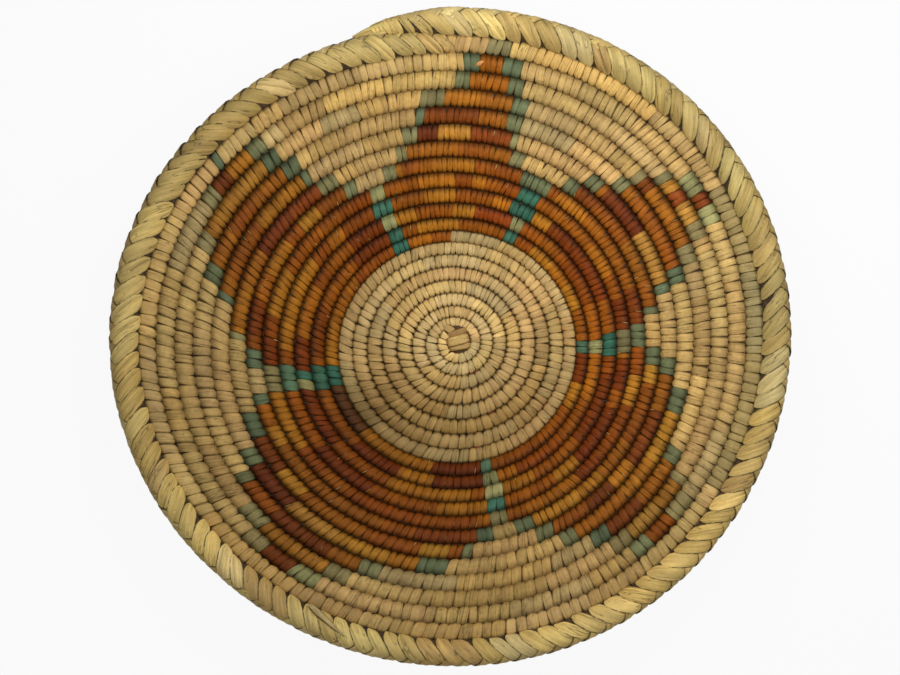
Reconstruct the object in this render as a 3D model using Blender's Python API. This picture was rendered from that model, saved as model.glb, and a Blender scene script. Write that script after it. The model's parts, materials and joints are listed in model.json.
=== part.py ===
"""A coiled basket bowl: grass foundation, leaf wrappings by zone, braided rim and start knot.

Metres, +Z up. The origin is the middle of the start knot, on the surface that the bowl stands on.
The foundation is one spiral, counter-clockwise outwards as seen from above. A place along it is
its turn: the whole turns lie on +X, and each full turn round the bowl adds one.
"""

import math

import bmesh
import bpy
import numpy as np

MM = 0.001

# The coil: its width is the step from one row to the next, measured along the bowl's profile
KNOT_REACH = 10.4 * MM
CENTRE_COIL_WIDTH = 5.9 * MM
BASE_COIL_WIDTH = 7.8 * MM
WALL_COIL_WIDTH = 8.8 * MM
RIM_COIL_WIDTH = 9.5 * MM
COIL_GAP = 0.5 * MM
COIL_HEIGHT_SHARE = 0.95
FLAT_CUT_SHARE = 0.2

# The turns at which the coil has those widths
FIRST_TURN = 1.0
BASE_TURNS = (3.4, 8.0)
WALL_TURNS = (10.0, 13.5)
RIM_TURN = 16.0

# The bowl's profile: a flat base, a soft bend, and a wall that leans out a little more at the rim
BASE_FLAT_RADIUS = 54.0 * MM
BEND_LENGTH = 16.0 * MM
WALL_ANGLE = math.radians(34.0)
RIM_ANGLE = math.radians(24.5)

# The bowl isn't quite round or central: where the last base ring and the rim have their middles, and how
# much the rim is wider along X and swells at three places
BASE_RING_SHIFT = (-1.1 * MM, -3.4 * MM)
RIM_RING_SHIFT = (-4.2 * MM, 0.1 * MM)
RIM_OVAL_SHARE = 0.024
RIM_LOBE_SHARE = 0.0064
RIM_LOBE_ANGLE = math.radians(47.0)

# The rings of points along the coil lie on the same angles in every row
RINGS_PER_TURN = 24
RING_STEP = 1 / RINGS_PER_TURN
RING_SPARE = RING_STEP / 5

# The turns at which one wrapping gives way to the next, on those angles
STAR_TURN = 8 + 6 * RING_STEP
PETAL_TURN = 13 + 7 * RING_STEP
BORDER_TURN = 19 + 6 * RING_STEP
BRAID_TURN = 20 + 6 * RING_STEP
BRAID_FULL_TURN = BRAID_TURN + RING_STEP
BRAID_TAPER_TURN = BRAID_TURN + 1
BRAID_END_TURN = BRAID_TAPER_TURN + 0.03
TAIL_TIP_TURN = BRAID_END_TURN + 0.018

# The braid and its tail
BRAID_WIDTH = 12.6 * MM
BRAID_END_WIDTH = 7.6 * MM
TAIL_TIP_WIDTH = 2.4 * MM

# The wrapping round the grass
BORE_SHARE = 0.68
CORE_CLEARANCE = 0.3 * MM
END_CLEARANCE = 0.3 * MM
OUTER_SIDES = 6
BORE_SIDES = 3

# The start knot and the strip folded over it
KNOT_HEIGHT = 6.0 * MM
KNOT_CLEARANCE = 0.35 * MM
KNOT_LEVEL_SHARES = ((0.0, 1.0), (0.62, 1.0), (0.88, 0.86), (1.0, 0.6))
FOLD_LENGTH = 11.0 * MM
FOLD_WIDTH = 8.2 * MM
FOLD_THICKNESS = 0.9 * MM
FOLD_ROUNDING = 0.35 * MM
FOLD_TURN = math.radians(-15.0)

# The loose end of leaf, on the braid's top at the lower left
LEAF_TURN = 20 + 16 * RING_STEP
LEAF_LENGTH = 21.0 * MM
LEAF_WIDTH = 1.4 * MM
LEAF_THICKNESS = 0.4 * MM
LEAF_CLEARANCE = 0.3 * MM
LEAF_LIFT = 0.9 * MM
LEAF_ACROSS_SHARES = (-0.4, 0.1)

# Five rust petals: bearing of the middle, half width where they leave the ring, and the turn of the tip
PETALS = (
    (math.radians(32.0), math.radians(26.0), 19.4),
    (math.radians(86.0), math.radians(20.0), 19.8),
    (math.radians(150.0), math.radians(27.0), 18.9),
    (math.radians(234.0), math.radians(39.0), 18.4),
    (math.radians(321.0), math.radians(31.0), 18.6),
)
PETAL_ROOT_TURN = 13.0

# Edges between faces that turn by more than this are drawn sharp
SHARP_ANGLE = math.radians(65.0)

LEAF = ("natural_leaf", (0.53, 0.40, 0.235), 0.62)
RUST = ("rust_leaf", (0.33, 0.125, 0.045), 0.6)
BRAID = ("braid_leaf", (0.60, 0.46, 0.27), 0.58)
GRASS = ("dry_grass", (0.34, 0.25, 0.14), 0.85)
KNOT = ("knot_leaf", (0.47, 0.34, 0.19), 0.7)


def clear_scene():
    """Take away every object that the file opened with."""
    for obj in list(bpy.data.objects):
        bpy.data.objects.remove(obj, do_unlink=True)


def material(finish):
    """Return the named finish, made on its first use."""
    name, colour, roughness = finish
    found = bpy.data.materials.get(name)
    if found:
        return found
    made = bpy.data.materials.new(name)
    made.use_nodes = True
    shader = made.node_tree.nodes["Principled BSDF"]
    shader.inputs["Base Color"].default_value = (*colour, 1.0)
    shader.inputs["Roughness"].default_value = roughness
    shader.inputs["Metallic"].default_value = 0.0
    made.diffuse_color = (*colour, 1.0)
    return made


def coil_width(turn):
    """The step from row to row along the profile at this turn, with the braid and its taper."""
    turns = (FIRST_TURN, *BASE_TURNS, *WALL_TURNS, RIM_TURN, BRAID_TURN, BRAID_FULL_TURN,
             BRAID_TAPER_TURN, BRAID_END_TURN, TAIL_TIP_TURN)
    widths = (CENTRE_COIL_WIDTH, BASE_COIL_WIDTH, BASE_COIL_WIDTH, WALL_COIL_WIDTH, WALL_COIL_WIDTH,
              RIM_COIL_WIDTH, RIM_COIL_WIDTH, BRAID_WIDTH, BRAID_WIDTH, BRAID_END_WIDTH, TAIL_TIP_WIDTH)
    return float(np.interp(turn, turns, widths))


def arc_length(turn):
    """Distance of the coil's middle from the knot's middle, along the profile."""
    if turn > BRAID_TURN:
        return arc_length(turn - 1) + (coil_width(turn - 1) + coil_width(turn)) / 2
    total = KNOT_REACH
    stations = (FIRST_TURN, *BASE_TURNS, *WALL_TURNS, RIM_TURN, BRAID_TURN)
    for low, high in zip(stations, stations[1:]):
        top = min(turn, high)
        if top > low:
            total += (top - low) * (coil_width(low) + coil_width(top)) / 2
    return total


def profile(length):
    """Radius, height and slope of the profile at a distance along it, by arcs of even bend."""
    lengths = (0.0, BASE_FLAT_RADIUS, BASE_FLAT_RADIUS + BEND_LENGTH, arc_length(BRAID_TURN))
    slopes = (0.0, 0.0, WALL_ANGLE, RIM_ANGLE)
    radius = 0.0
    height = 0.0
    for index in range(len(lengths) - 1):
        low, high = lengths[index], lengths[index + 1]
        if length <= low:
            break
        last = index == len(lengths) - 2
        run = (length if last else min(length, high)) - low
        bend = (slopes[index + 1] - slopes[index]) / (high - low)
        start = slopes[index]
        slope = start + bend * run
        if bend:
            radius += (math.sin(slope) - math.sin(start)) / bend
            height += (math.cos(start) - math.cos(slope)) / bend
        else:
            radius += run * math.cos(start)
            height += run * math.sin(start)
    return radius, height, slope


def coil_middle(turn):
    """The coil's middle at this turn, before its own height above the floor is added."""
    radius, height, _ = profile(arc_length(turn))
    angle = 2 * math.pi * turn
    wall_share = min(max((turn - STAR_TURN) / (BRAID_END_TURN - STAR_TURN), 0.0), 1.0)
    oval = RIM_OVAL_SHARE * math.cos(2 * angle)
    lobes = RIM_LOBE_SHARE * math.cos(3 * (angle - RIM_LOBE_ANGLE))
    reach = radius * (1 + wall_share * (oval + lobes))
    turns = (FIRST_TURN, STAR_TURN, BRAID_END_TURN)
    shift = [np.interp(turn, turns, (0.0, low, high)) for low, high in zip(BASE_RING_SHIFT, RIM_RING_SHIFT)]
    return np.array((shift[0] + reach * math.cos(angle), shift[1] + reach * math.sin(angle), height))


def coil_radius(turn):
    """Half the coil's width at this turn, less its half of the gap to the rows beside it."""
    fits = []
    for inner in (turn - 1, turn):
        if inner >= FIRST_TURN and inner + 1 <= TAIL_TIP_TURN:
            step = np.linalg.norm(coil_middle(inner + 1) - coil_middle(inner))
            fits.append(step / (arc_length(inner + 1) - arc_length(inner)))
    return (coil_width(turn) * min(fits) - COIL_GAP) / 2


def coil_frame(turn):
    """Middle, outward direction, upward direction and radius of the coil's section at this turn."""
    radius = coil_radius(turn)
    angle = 2 * math.pi * turn
    slope = profile(arc_length(turn))[2]
    radial = np.array((math.cos(angle), math.sin(angle), 0.0))
    up = np.array((0.0, 0.0, 1.0))
    outward = radial * math.cos(slope) + up * math.sin(slope)
    normal = up * math.cos(slope) - radial * math.sin(slope)
    seat = radius * (COIL_HEIGHT_SHARE - FLAT_CUT_SHARE)
    return coil_middle(turn) + up * seat, outward, normal, radius


def outer_ring(turn):
    """The wrapping's section: six sides, level on top, cut flat where it would pass the floor."""
    middle, outward, normal, radius = coil_frame(turn)
    ring = []
    for index in range(OUTER_SIDES):
        angle = 2 * math.pi * index / OUTER_SIDES
        rise = math.sin(angle) / math.sin(math.pi / 3) * COIL_HEIGHT_SHARE
        ring.append(middle + radius * (math.cos(angle) * outward + rise * normal))
    for low, beside in ((4, 3), (5, 0)):
        if ring[low][2] < 0:
            slide = ring[low][2] / (ring[low][2] - ring[beside][2])
            ring[low] = ring[low] + slide * (ring[beside] - ring[low])
    return ring


def inner_ring(turn, clearance):
    """The section of the bore, or of the grass in it when a clearance is taken off its sides."""
    middle, outward, normal, radius = coil_frame(turn)
    reach = radius * BORE_SHARE - clearance / math.cos(math.pi / BORE_SIDES)
    ring = []
    for index in range(BORE_SIDES):
        angle = math.pi / 2 + 2 * math.pi * index / BORE_SIDES
        ring.append(middle + reach * (math.cos(angle) * outward + math.sin(angle) * normal))
    return ring


def stations(start, end):
    """Turns of the rings from start to end, on the same angles in every row."""
    first = math.floor(start * RINGS_PER_TURN) + 1
    last = math.ceil(end * RINGS_PER_TURN) - 1
    middle = [index * RING_STEP for index in range(first, last + 1)]
    clear = [turn for turn in middle if turn - start > RING_SPARE and end - turn > RING_SPARE]
    return [start] + clear + [end]


def after(turn):
    """The turn that lies one end clearance further along the coil."""
    return turn + END_CLEARANCE / (2 * math.pi * profile(arc_length(turn))[0])


def skin(mesh, rings, flip=False):
    """Join rings of points by four-sided faces and return their vertices."""
    rows = [[mesh.verts.new(point) for point in ring] for ring in rings]
    count = len(rows[0])
    faces = []
    for one, two in zip(rows, rows[1:]):
        for index in range(count):
            beside = (index + 1) % count
            loop = [one[index], one[beside], two[beside], two[index]]
            faces.append(mesh.faces.new(loop[::-1] if flip else loop))
    return rows, faces


def close_end(mesh, outer, inner):
    """Fill the flat end between an outer and an inner loop with triangles, by angle."""
    middle = sum((vert.co for vert in inner), inner[0].co * 0) / len(inner)
    side = (outer[0].co - middle).normalized()
    above = (outer[1].co - middle) - side * (outer[1].co - middle).dot(side)
    above.normalize()

    def bearing(vert):
        offset = vert.co - middle
        return math.atan2(offset.dot(above), offset.dot(side)) % (2 * math.pi)

    hole = sorted(inner, key=bearing)
    steps = [(bearing(vert) if index else 0.0, 0, index) for index, vert in enumerate(outer)]
    steps += [(bearing(vert), 1, index) for index, vert in enumerate(hole)]
    steps.sort()
    at = [0, len(hole) - 1]
    loops = (outer, hole)
    for _, which, index in steps[1:] + [(0.0, 0, 0)]:
        mesh.faces.new((loops[0][at[0]], loops[1][at[1]], loops[which][index]))
        at[which] = index


def finish(name, mesh, finishes):
    """Make an object of the closed mesh, with its faces pointing out and shaded smooth."""
    bmesh.ops.recalc_face_normals(mesh, faces=mesh.faces)
    data = bpy.data.meshes.new(name)
    mesh.to_mesh(data)
    mesh.free()
    for each in finishes:
        data.materials.append(material(each))
    data.shade_smooth()
    data.set_sharp_from_angle(angle=SHARP_ANGLE)
    obj = bpy.data.objects.new(name, data)
    bpy.context.scene.collection.objects.link(obj)
    return obj


def is_petal(turn):
    """Whether the coil is wrapped in rust here: the closed ring, or one of the petals above it."""
    bearing = 2 * math.pi * turn
    for middle, half_width, tip in PETALS:
        share = (tip - turn) / (tip - PETAL_ROOT_TURN)
        away = abs((bearing - middle + math.pi) % (2 * math.pi) - math.pi)
        if away < half_width * share:
            return True
    return turn < PETAL_TURN


def wrapping(name, start, end, finishes, dyed=False):
    """One zone of the wrapping: an unbroken tube along the coil, bored for the grass."""
    mesh = bmesh.new()
    turns = stations(start, end)
    outer, faces = skin(mesh, [outer_ring(turn) for turn in turns])
    bore, _ = skin(mesh, [inner_ring(turn, 0.0) for turn in turns], flip=True)
    for row in (0, -1):
        close_end(mesh, outer[row], bore[row])
    if dyed:
        for index, face in enumerate(faces):
            low = turns[index // OUTER_SIDES]
            high = turns[index // OUTER_SIDES + 1]
            face.material_index = 1 if is_petal((low + high) / 2) else 0
    return finish(name, mesh, finishes)


def solid_tube(name, rings, finishes):
    """A solid tube through the rings, with flat ends."""
    mesh = bmesh.new()
    rows, _ = skin(mesh, rings)
    mesh.faces.new(rows[0][::-1])
    mesh.faces.new(rows[-1])
    return finish(name, mesh, finishes)


def whole_coil_stations():
    """Turns of the rings along the whole coil, on those of the wrappings."""
    turns = [FIRST_TURN]
    for end in (STAR_TURN, PETAL_TURN, BORDER_TURN, BRAID_TURN, BRAID_END_TURN):
        turns += stations(turns[-1], end)[1:]
    return turns


def grass_core():
    """The foundation: one unbroken spiral of grass, from the knot to the end of the braid."""
    rings = [inner_ring(turn, CORE_CLEARANCE) for turn in whole_coil_stations()]
    return solid_tube("grass_core", rings, [GRASS])


def braid_tail():
    """The braid's thin end, laid against the start of the braid."""
    start = after(BRAID_END_TURN)
    middle = (start + TAIL_TIP_TURN) / 2
    turns = (start, middle, TAIL_TIP_TURN)
    return solid_tube("rim_braid_tail", [outer_ring(turn) for turn in turns], [BRAID])


def start_knot():
    """The wad in the middle, whose outline follows the inner side of the first round."""
    outline = []
    for index in range(RINGS_PER_TURN + 1):
        turn = FIRST_TURN + index / RINGS_PER_TURN
        middle, outward, _, radius = coil_frame(turn)
        point = middle - outward * (radius + KNOT_CLEARANCE)
        outline.append(point[:2])
    outline[-1] = np.array((outline[-1][0], -KNOT_CLEARANCE))
    outline.append(np.array((outline[0][0], -KNOT_CLEARANCE)))
    heart = np.mean(outline[:-1], axis=0)
    mesh = bmesh.new()
    rings = []
    for height_share, width_share in KNOT_LEVEL_SHARES:
        level = KNOT_HEIGHT * height_share
        rings.append([(*(heart + (point - heart) * width_share), level) for point in outline])
    rows, _ = skin(mesh, rings)
    mesh.faces.new(rows[0][::-1])
    mesh.faces.new(rows[-1])
    return finish("start_knot", mesh, [KNOT])


def start_fold_strip():
    """The flat strip folded over the knot."""
    mesh = bmesh.new()
    bmesh.ops.create_cube(mesh, size=1.0)
    bmesh.ops.scale(mesh, vec=(FOLD_LENGTH, FOLD_WIDTH, FOLD_THICKNESS), verts=mesh.verts)
    bmesh.ops.bevel(mesh, geom=mesh.edges[:], offset=FOLD_ROUNDING, segments=1, affect="EDGES")
    level = KNOT_HEIGHT + KNOT_CLEARANCE + FOLD_THICKNESS / 2
    strip = finish("start_fold_strip", mesh, [KNOT])
    strip.location = (0.0, 0.0, level)
    strip.rotation_euler = (0.0, 0.0, FOLD_TURN)
    return strip


def loose_leaf_end():
    """A thin loose end of leaf along one straight run of the braid's top."""
    near = coil_frame(LEAF_TURN)
    far = coil_frame(LEAF_TURN + RING_STEP)
    share = LEAF_LENGTH / np.linalg.norm(far[0] - near[0])
    rings = []
    for along, across, lift in zip((0.0, share), LEAF_ACROSS_SHARES, (0.0, LEAF_LIFT)):
        middle, outward, normal, radius = [one + along * (two - one) for one, two in zip(near, far)]
        low = radius * COIL_HEIGHT_SHARE + LEAF_CLEARANCE + lift
        ring = []
        for side, level in ((-1, 0.0), (1, 0.0), (1, LEAF_THICKNESS), (-1, LEAF_THICKNESS)):
            reach = radius * across + side * LEAF_WIDTH / 2
            ring.append(middle + outward * reach + normal * (low + level))
        rings.append(ring)
    return solid_tube("loose_leaf_end", rings, [LEAF])


def least_coil_gap():
    """The least distance between edge lines of rows that lie side by side, measured on points."""
    turns = whole_coil_stations()
    rings = np.array([outer_ring(turn) for turn in turns])
    halves = (rings[1:] + rings[:-1]) / 2
    points = np.concatenate((rings, halves)).reshape(-1, 3)
    middles = np.convolve(turns, (0.5, 0.5), mode="valid")
    places = np.repeat(np.concatenate((turns, middles)), OUTER_SIDES)
    least = math.inf
    for low in np.arange(FIRST_TURN, BRAID_END_TURN, RING_STEP):
        here = points[(places >= low) & (places < low + RING_STEP)]
        there = points[(places > low + 0.5) & (places < low + 1.5)]
        if len(here) and len(there):
            apart = np.linalg.norm(here[:, None] - there[None], axis=2)
            least = min(least, float(apart.min()))
    return least


def build():
    """Make every piece of the bowl."""
    clear_scene()
    grass_core()
    start_knot()
    start_fold_strip()
    wrapping("base_wrapping", FIRST_TURN, STAR_TURN, [LEAF])
    wrapping("star_ring_wrapping", after(STAR_TURN), PETAL_TURN, [LEAF, RUST], dyed=True)
    wrapping("petal_wrapping", after(PETAL_TURN), BORDER_TURN, [LEAF, RUST], dyed=True)
    wrapping("border_wrapping", after(BORDER_TURN), BRAID_TURN, [LEAF])
    wrapping("rim_braid", after(BRAID_TURN), BRAID_END_TURN, [BRAID])
    braid_tail()
    loose_leaf_end()
    print(f"least gap between rows: {least_coil_gap() / MM:.2f} mm")


build()
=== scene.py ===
"""Looks of a coiled basket bowl: leaf stitches over a grass coil, a braided rim, a start knot.

The coil is one spiral, counter-clockwise outwards as seen from above. A place along it is its
turn: the whole turns lie on +X, and each full turn round the bowl adds one. Metres, +Z up.
"""

import json
import logging
import math
import random
from collections.abc import Iterable, Sequence
from dataclasses import dataclass, field, replace
from enum import Enum
from typing import NamedTuple

import bmesh
import bpy
import numpy as np
from mathutils import Matrix, Vector

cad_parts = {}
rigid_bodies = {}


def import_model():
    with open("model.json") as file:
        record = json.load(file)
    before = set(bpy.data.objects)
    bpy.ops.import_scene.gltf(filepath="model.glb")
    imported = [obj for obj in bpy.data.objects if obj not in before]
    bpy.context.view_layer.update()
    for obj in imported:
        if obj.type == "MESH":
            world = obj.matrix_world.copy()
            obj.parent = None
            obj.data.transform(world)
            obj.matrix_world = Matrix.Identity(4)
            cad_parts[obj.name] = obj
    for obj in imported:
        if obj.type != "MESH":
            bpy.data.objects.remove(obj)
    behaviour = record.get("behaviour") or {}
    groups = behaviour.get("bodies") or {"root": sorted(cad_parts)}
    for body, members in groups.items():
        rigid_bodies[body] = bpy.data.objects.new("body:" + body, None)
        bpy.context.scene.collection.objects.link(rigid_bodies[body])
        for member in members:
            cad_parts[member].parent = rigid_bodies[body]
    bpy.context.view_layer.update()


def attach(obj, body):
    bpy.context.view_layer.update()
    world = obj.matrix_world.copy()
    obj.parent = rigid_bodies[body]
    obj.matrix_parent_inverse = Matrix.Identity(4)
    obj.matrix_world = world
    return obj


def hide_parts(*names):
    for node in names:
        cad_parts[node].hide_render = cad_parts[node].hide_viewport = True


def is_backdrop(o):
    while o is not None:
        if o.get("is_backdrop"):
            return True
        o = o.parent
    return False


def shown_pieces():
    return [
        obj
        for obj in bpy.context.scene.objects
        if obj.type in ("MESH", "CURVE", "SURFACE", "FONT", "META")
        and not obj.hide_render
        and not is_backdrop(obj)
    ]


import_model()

LOG = logging.getLogger("basket_bowl")
MM = 0.001
FULL_CIRCLE = 360
BODY = "root"
SEED = 20

Colour = tuple[float, float, float]
Socket = bpy.types.NodeSocket


class Dye(Enum):
    """The look of a leaf strip, by its letter in the stitch chart."""

    NATURAL = "N"
    FRESH = "Y"
    PINKISH = "S"
    KHAKI = "H"
    RUST = "R"
    ORANGE = "A"
    OCHRE = "O"
    MAROON = "M"
    TEAL = "T"
    FADED_TEAL = "F"
    GREY_GREEN = "G"
    PALE_GREEN = "P"
    STAINED = "K"
    BRAID = "B"


def linear(red: int, green: int, blue: int) -> Colour:
    """Turn a colour as seen on a screen into a linear one.

    Args:
        red: Red in steps of 0 to 255.
        green: Green in the same steps.
        blue: Blue in the same steps.

    Returns:
        The linear colour.
    """
    shares = (red / 255, green / 255, blue / 255)
    return tuple(share / 12.92 if share < 0.04045 else ((share + 0.055) / 1.055) ** 2.4
                 for share in shares)


# The strips that a maker picks from for each dye
STRIPS: dict[Dye, tuple[Colour, ...]] = {
    Dye.NATURAL: (linear(212, 176, 107), linear(203, 166, 98), linear(197, 161, 99),
                  linear(211, 172, 109), linear(197, 167, 109)),
    Dye.FRESH: (linear(220, 180, 103), linear(210, 171, 97)),
    Dye.PINKISH: (linear(198, 162, 99), linear(190, 153, 94), linear(200, 166, 101)),
    Dye.KHAKI: (linear(164, 143, 90), linear(171, 147, 90), linear(157, 139, 91)),
    Dye.RUST: (linear(162, 96, 24), linear(149, 82, 21), linear(178, 114, 32),
               linear(126, 63, 18), linear(186, 129, 42), linear(158, 94, 25)),
    Dye.ORANGE: (linear(160, 94, 20), linear(151, 87, 18), linear(168, 104, 28)),
    Dye.OCHRE: (linear(178, 122, 45), linear(166, 109, 37), linear(184, 132, 56)),
    Dye.MAROON: (linear(124, 58, 22), linear(112, 52, 20), linear(142, 70, 24)),
    Dye.TEAL: (linear(72, 118, 94), linear(62, 110, 88), linear(88, 120, 90),
               linear(96, 124, 92)),
    Dye.FADED_TEAL: (linear(114, 121, 84), linear(104, 115, 82), linear(126, 127, 86),
                     linear(138, 133, 89)),
    Dye.GREY_GREEN: (linear(145, 133, 86), linear(131, 123, 82), linear(152, 136, 88)),
    Dye.PALE_GREEN: (linear(172, 166, 108), linear(160, 156, 102)),
    Dye.STAINED: (linear(92, 55, 27), linear(80, 48, 25), linear(101, 63, 29)),
    Dye.BRAID: (linear(214, 184, 112), linear(202, 172, 100), linear(222, 194, 118),
                linear(192, 160, 98), linear(216, 190, 126), linear(206, 176, 106)),
}

# How much of the seams' dirt and painted shade shows beside each dye's strips
SEAM_DIRT_AND_SHADE: dict[Dye, float] = {
    Dye.NATURAL: 0.36, Dye.FRESH: 0.36, Dye.PINKISH: 0.36, Dye.KHAKI: 0.36, Dye.BRAID: 0.0,
    Dye.RUST: 1.0, Dye.MAROON: 1.0, Dye.STAINED: 1.0, Dye.ORANGE: 0.9, Dye.OCHRE: 0.9,
    Dye.TEAL: 0.85, Dye.FADED_TEAL: 0.7, Dye.GREY_GREEN: 0.6, Dye.PALE_GREEN: 0.6,
}
RUSTY = (Dye.RUST, Dye.ORANGE, Dye.OCHRE, Dye.MAROON)

# What the points tell the geometry trees, and the finished pieces no longer need
SPARE_ATTRIBUTES = ("origin", "along", "outward", "bend", "size", "lean", "kind", "normal",
                    "thickness")

# The stitch chart: for each run of a row, the dye's letter and the bearing at which it ends
STITCH_CHART: dict[int, str] = {
    8: "N94 R117 T125 R190 T198 K222 R280 T287 R356 T360",
    9: "T2 R60 T67 R116 T124 R189 T198 R280 P286 R357 P360",
    10: "P2 R60 P67 M82 R116 P123 R189 T193 P197 R281 P286 R357 T360",
    11: "T5 R60 T68 R115 T123 R187 T195 R280 T287 R358 G360",
    12: "G5 R60 T69 R115 P121 R186 G194 R280 G286 R359 T360",
    13: "F6 R59 F69 R109 F113 N122 F126 R181 F186 N194 F197 R275 F281 N286 F292 R355 F358 N360",
    14: "N8 F12 R53 F57 N70 F75 R105 G109 N126 F132 M155 R177 F180 N199 F205 R271 F275 N293 "
        "F298 R352 F356 N360",
    15: "N13 F17 O31 M46 R48 F51 N73 F76 M86 O96 M101 F105 N131 F134 R167 F170 N207 F210 M224 "
        "O238 R260 F266 N298 F302 R343 F348 N360",
    16: "N16 F19 R43 F47 N73 F77 R98 F101 N132 F135 R162 F166 N210 F214 R246 F252 N305 F309 "
        "R331 F335 N360",
    17: "N20 G24 R41 G43 N74 F78 R85 A93 G98 N133 F137 O156 G159 S218 G224 O239 G245 N307 G311 "
        "O328 G331 N360",
    18: "N23 G27 O32 M35 O38 G41 N76 F79 A88 F91 Y120 N134 F138 R148 G151 N223 G226 R234 P240 "
        "N311 F314 R321 G326 N360",
    19: "N25 P29 M32 P37 S77 F80 A85 F89 N141 F144 N330 H360",
    20: "H32 S50 Y80 G85 S91",
}
PLAIN_ROW = "N360"


def chart_dye(turn: float) -> Dye:
    """Return the dye of the strip at this turn.

    Args:
        turn: Place along the coil, as a turn round the chart's own centre.

    Returns:
        The dye that the stitch chart gives, and natural leaf where it has no row.
    """
    row = math.floor(turn)
    bearing = (turn - row) * FULL_CIRCLE
    for run in STITCH_CHART.get(row, PLAIN_ROW).split():
        if bearing < float(run[1:]):
            return Dye(run[0])
    return Dye.NATURAL


class Section(NamedTuple):
    """The coil's section at one turn: where it is, how it is turned, and how thick it is."""

    middle: np.ndarray
    along: np.ndarray
    outward: np.ndarray
    normal: np.ndarray
    bend: np.ndarray
    radius: float


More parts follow.
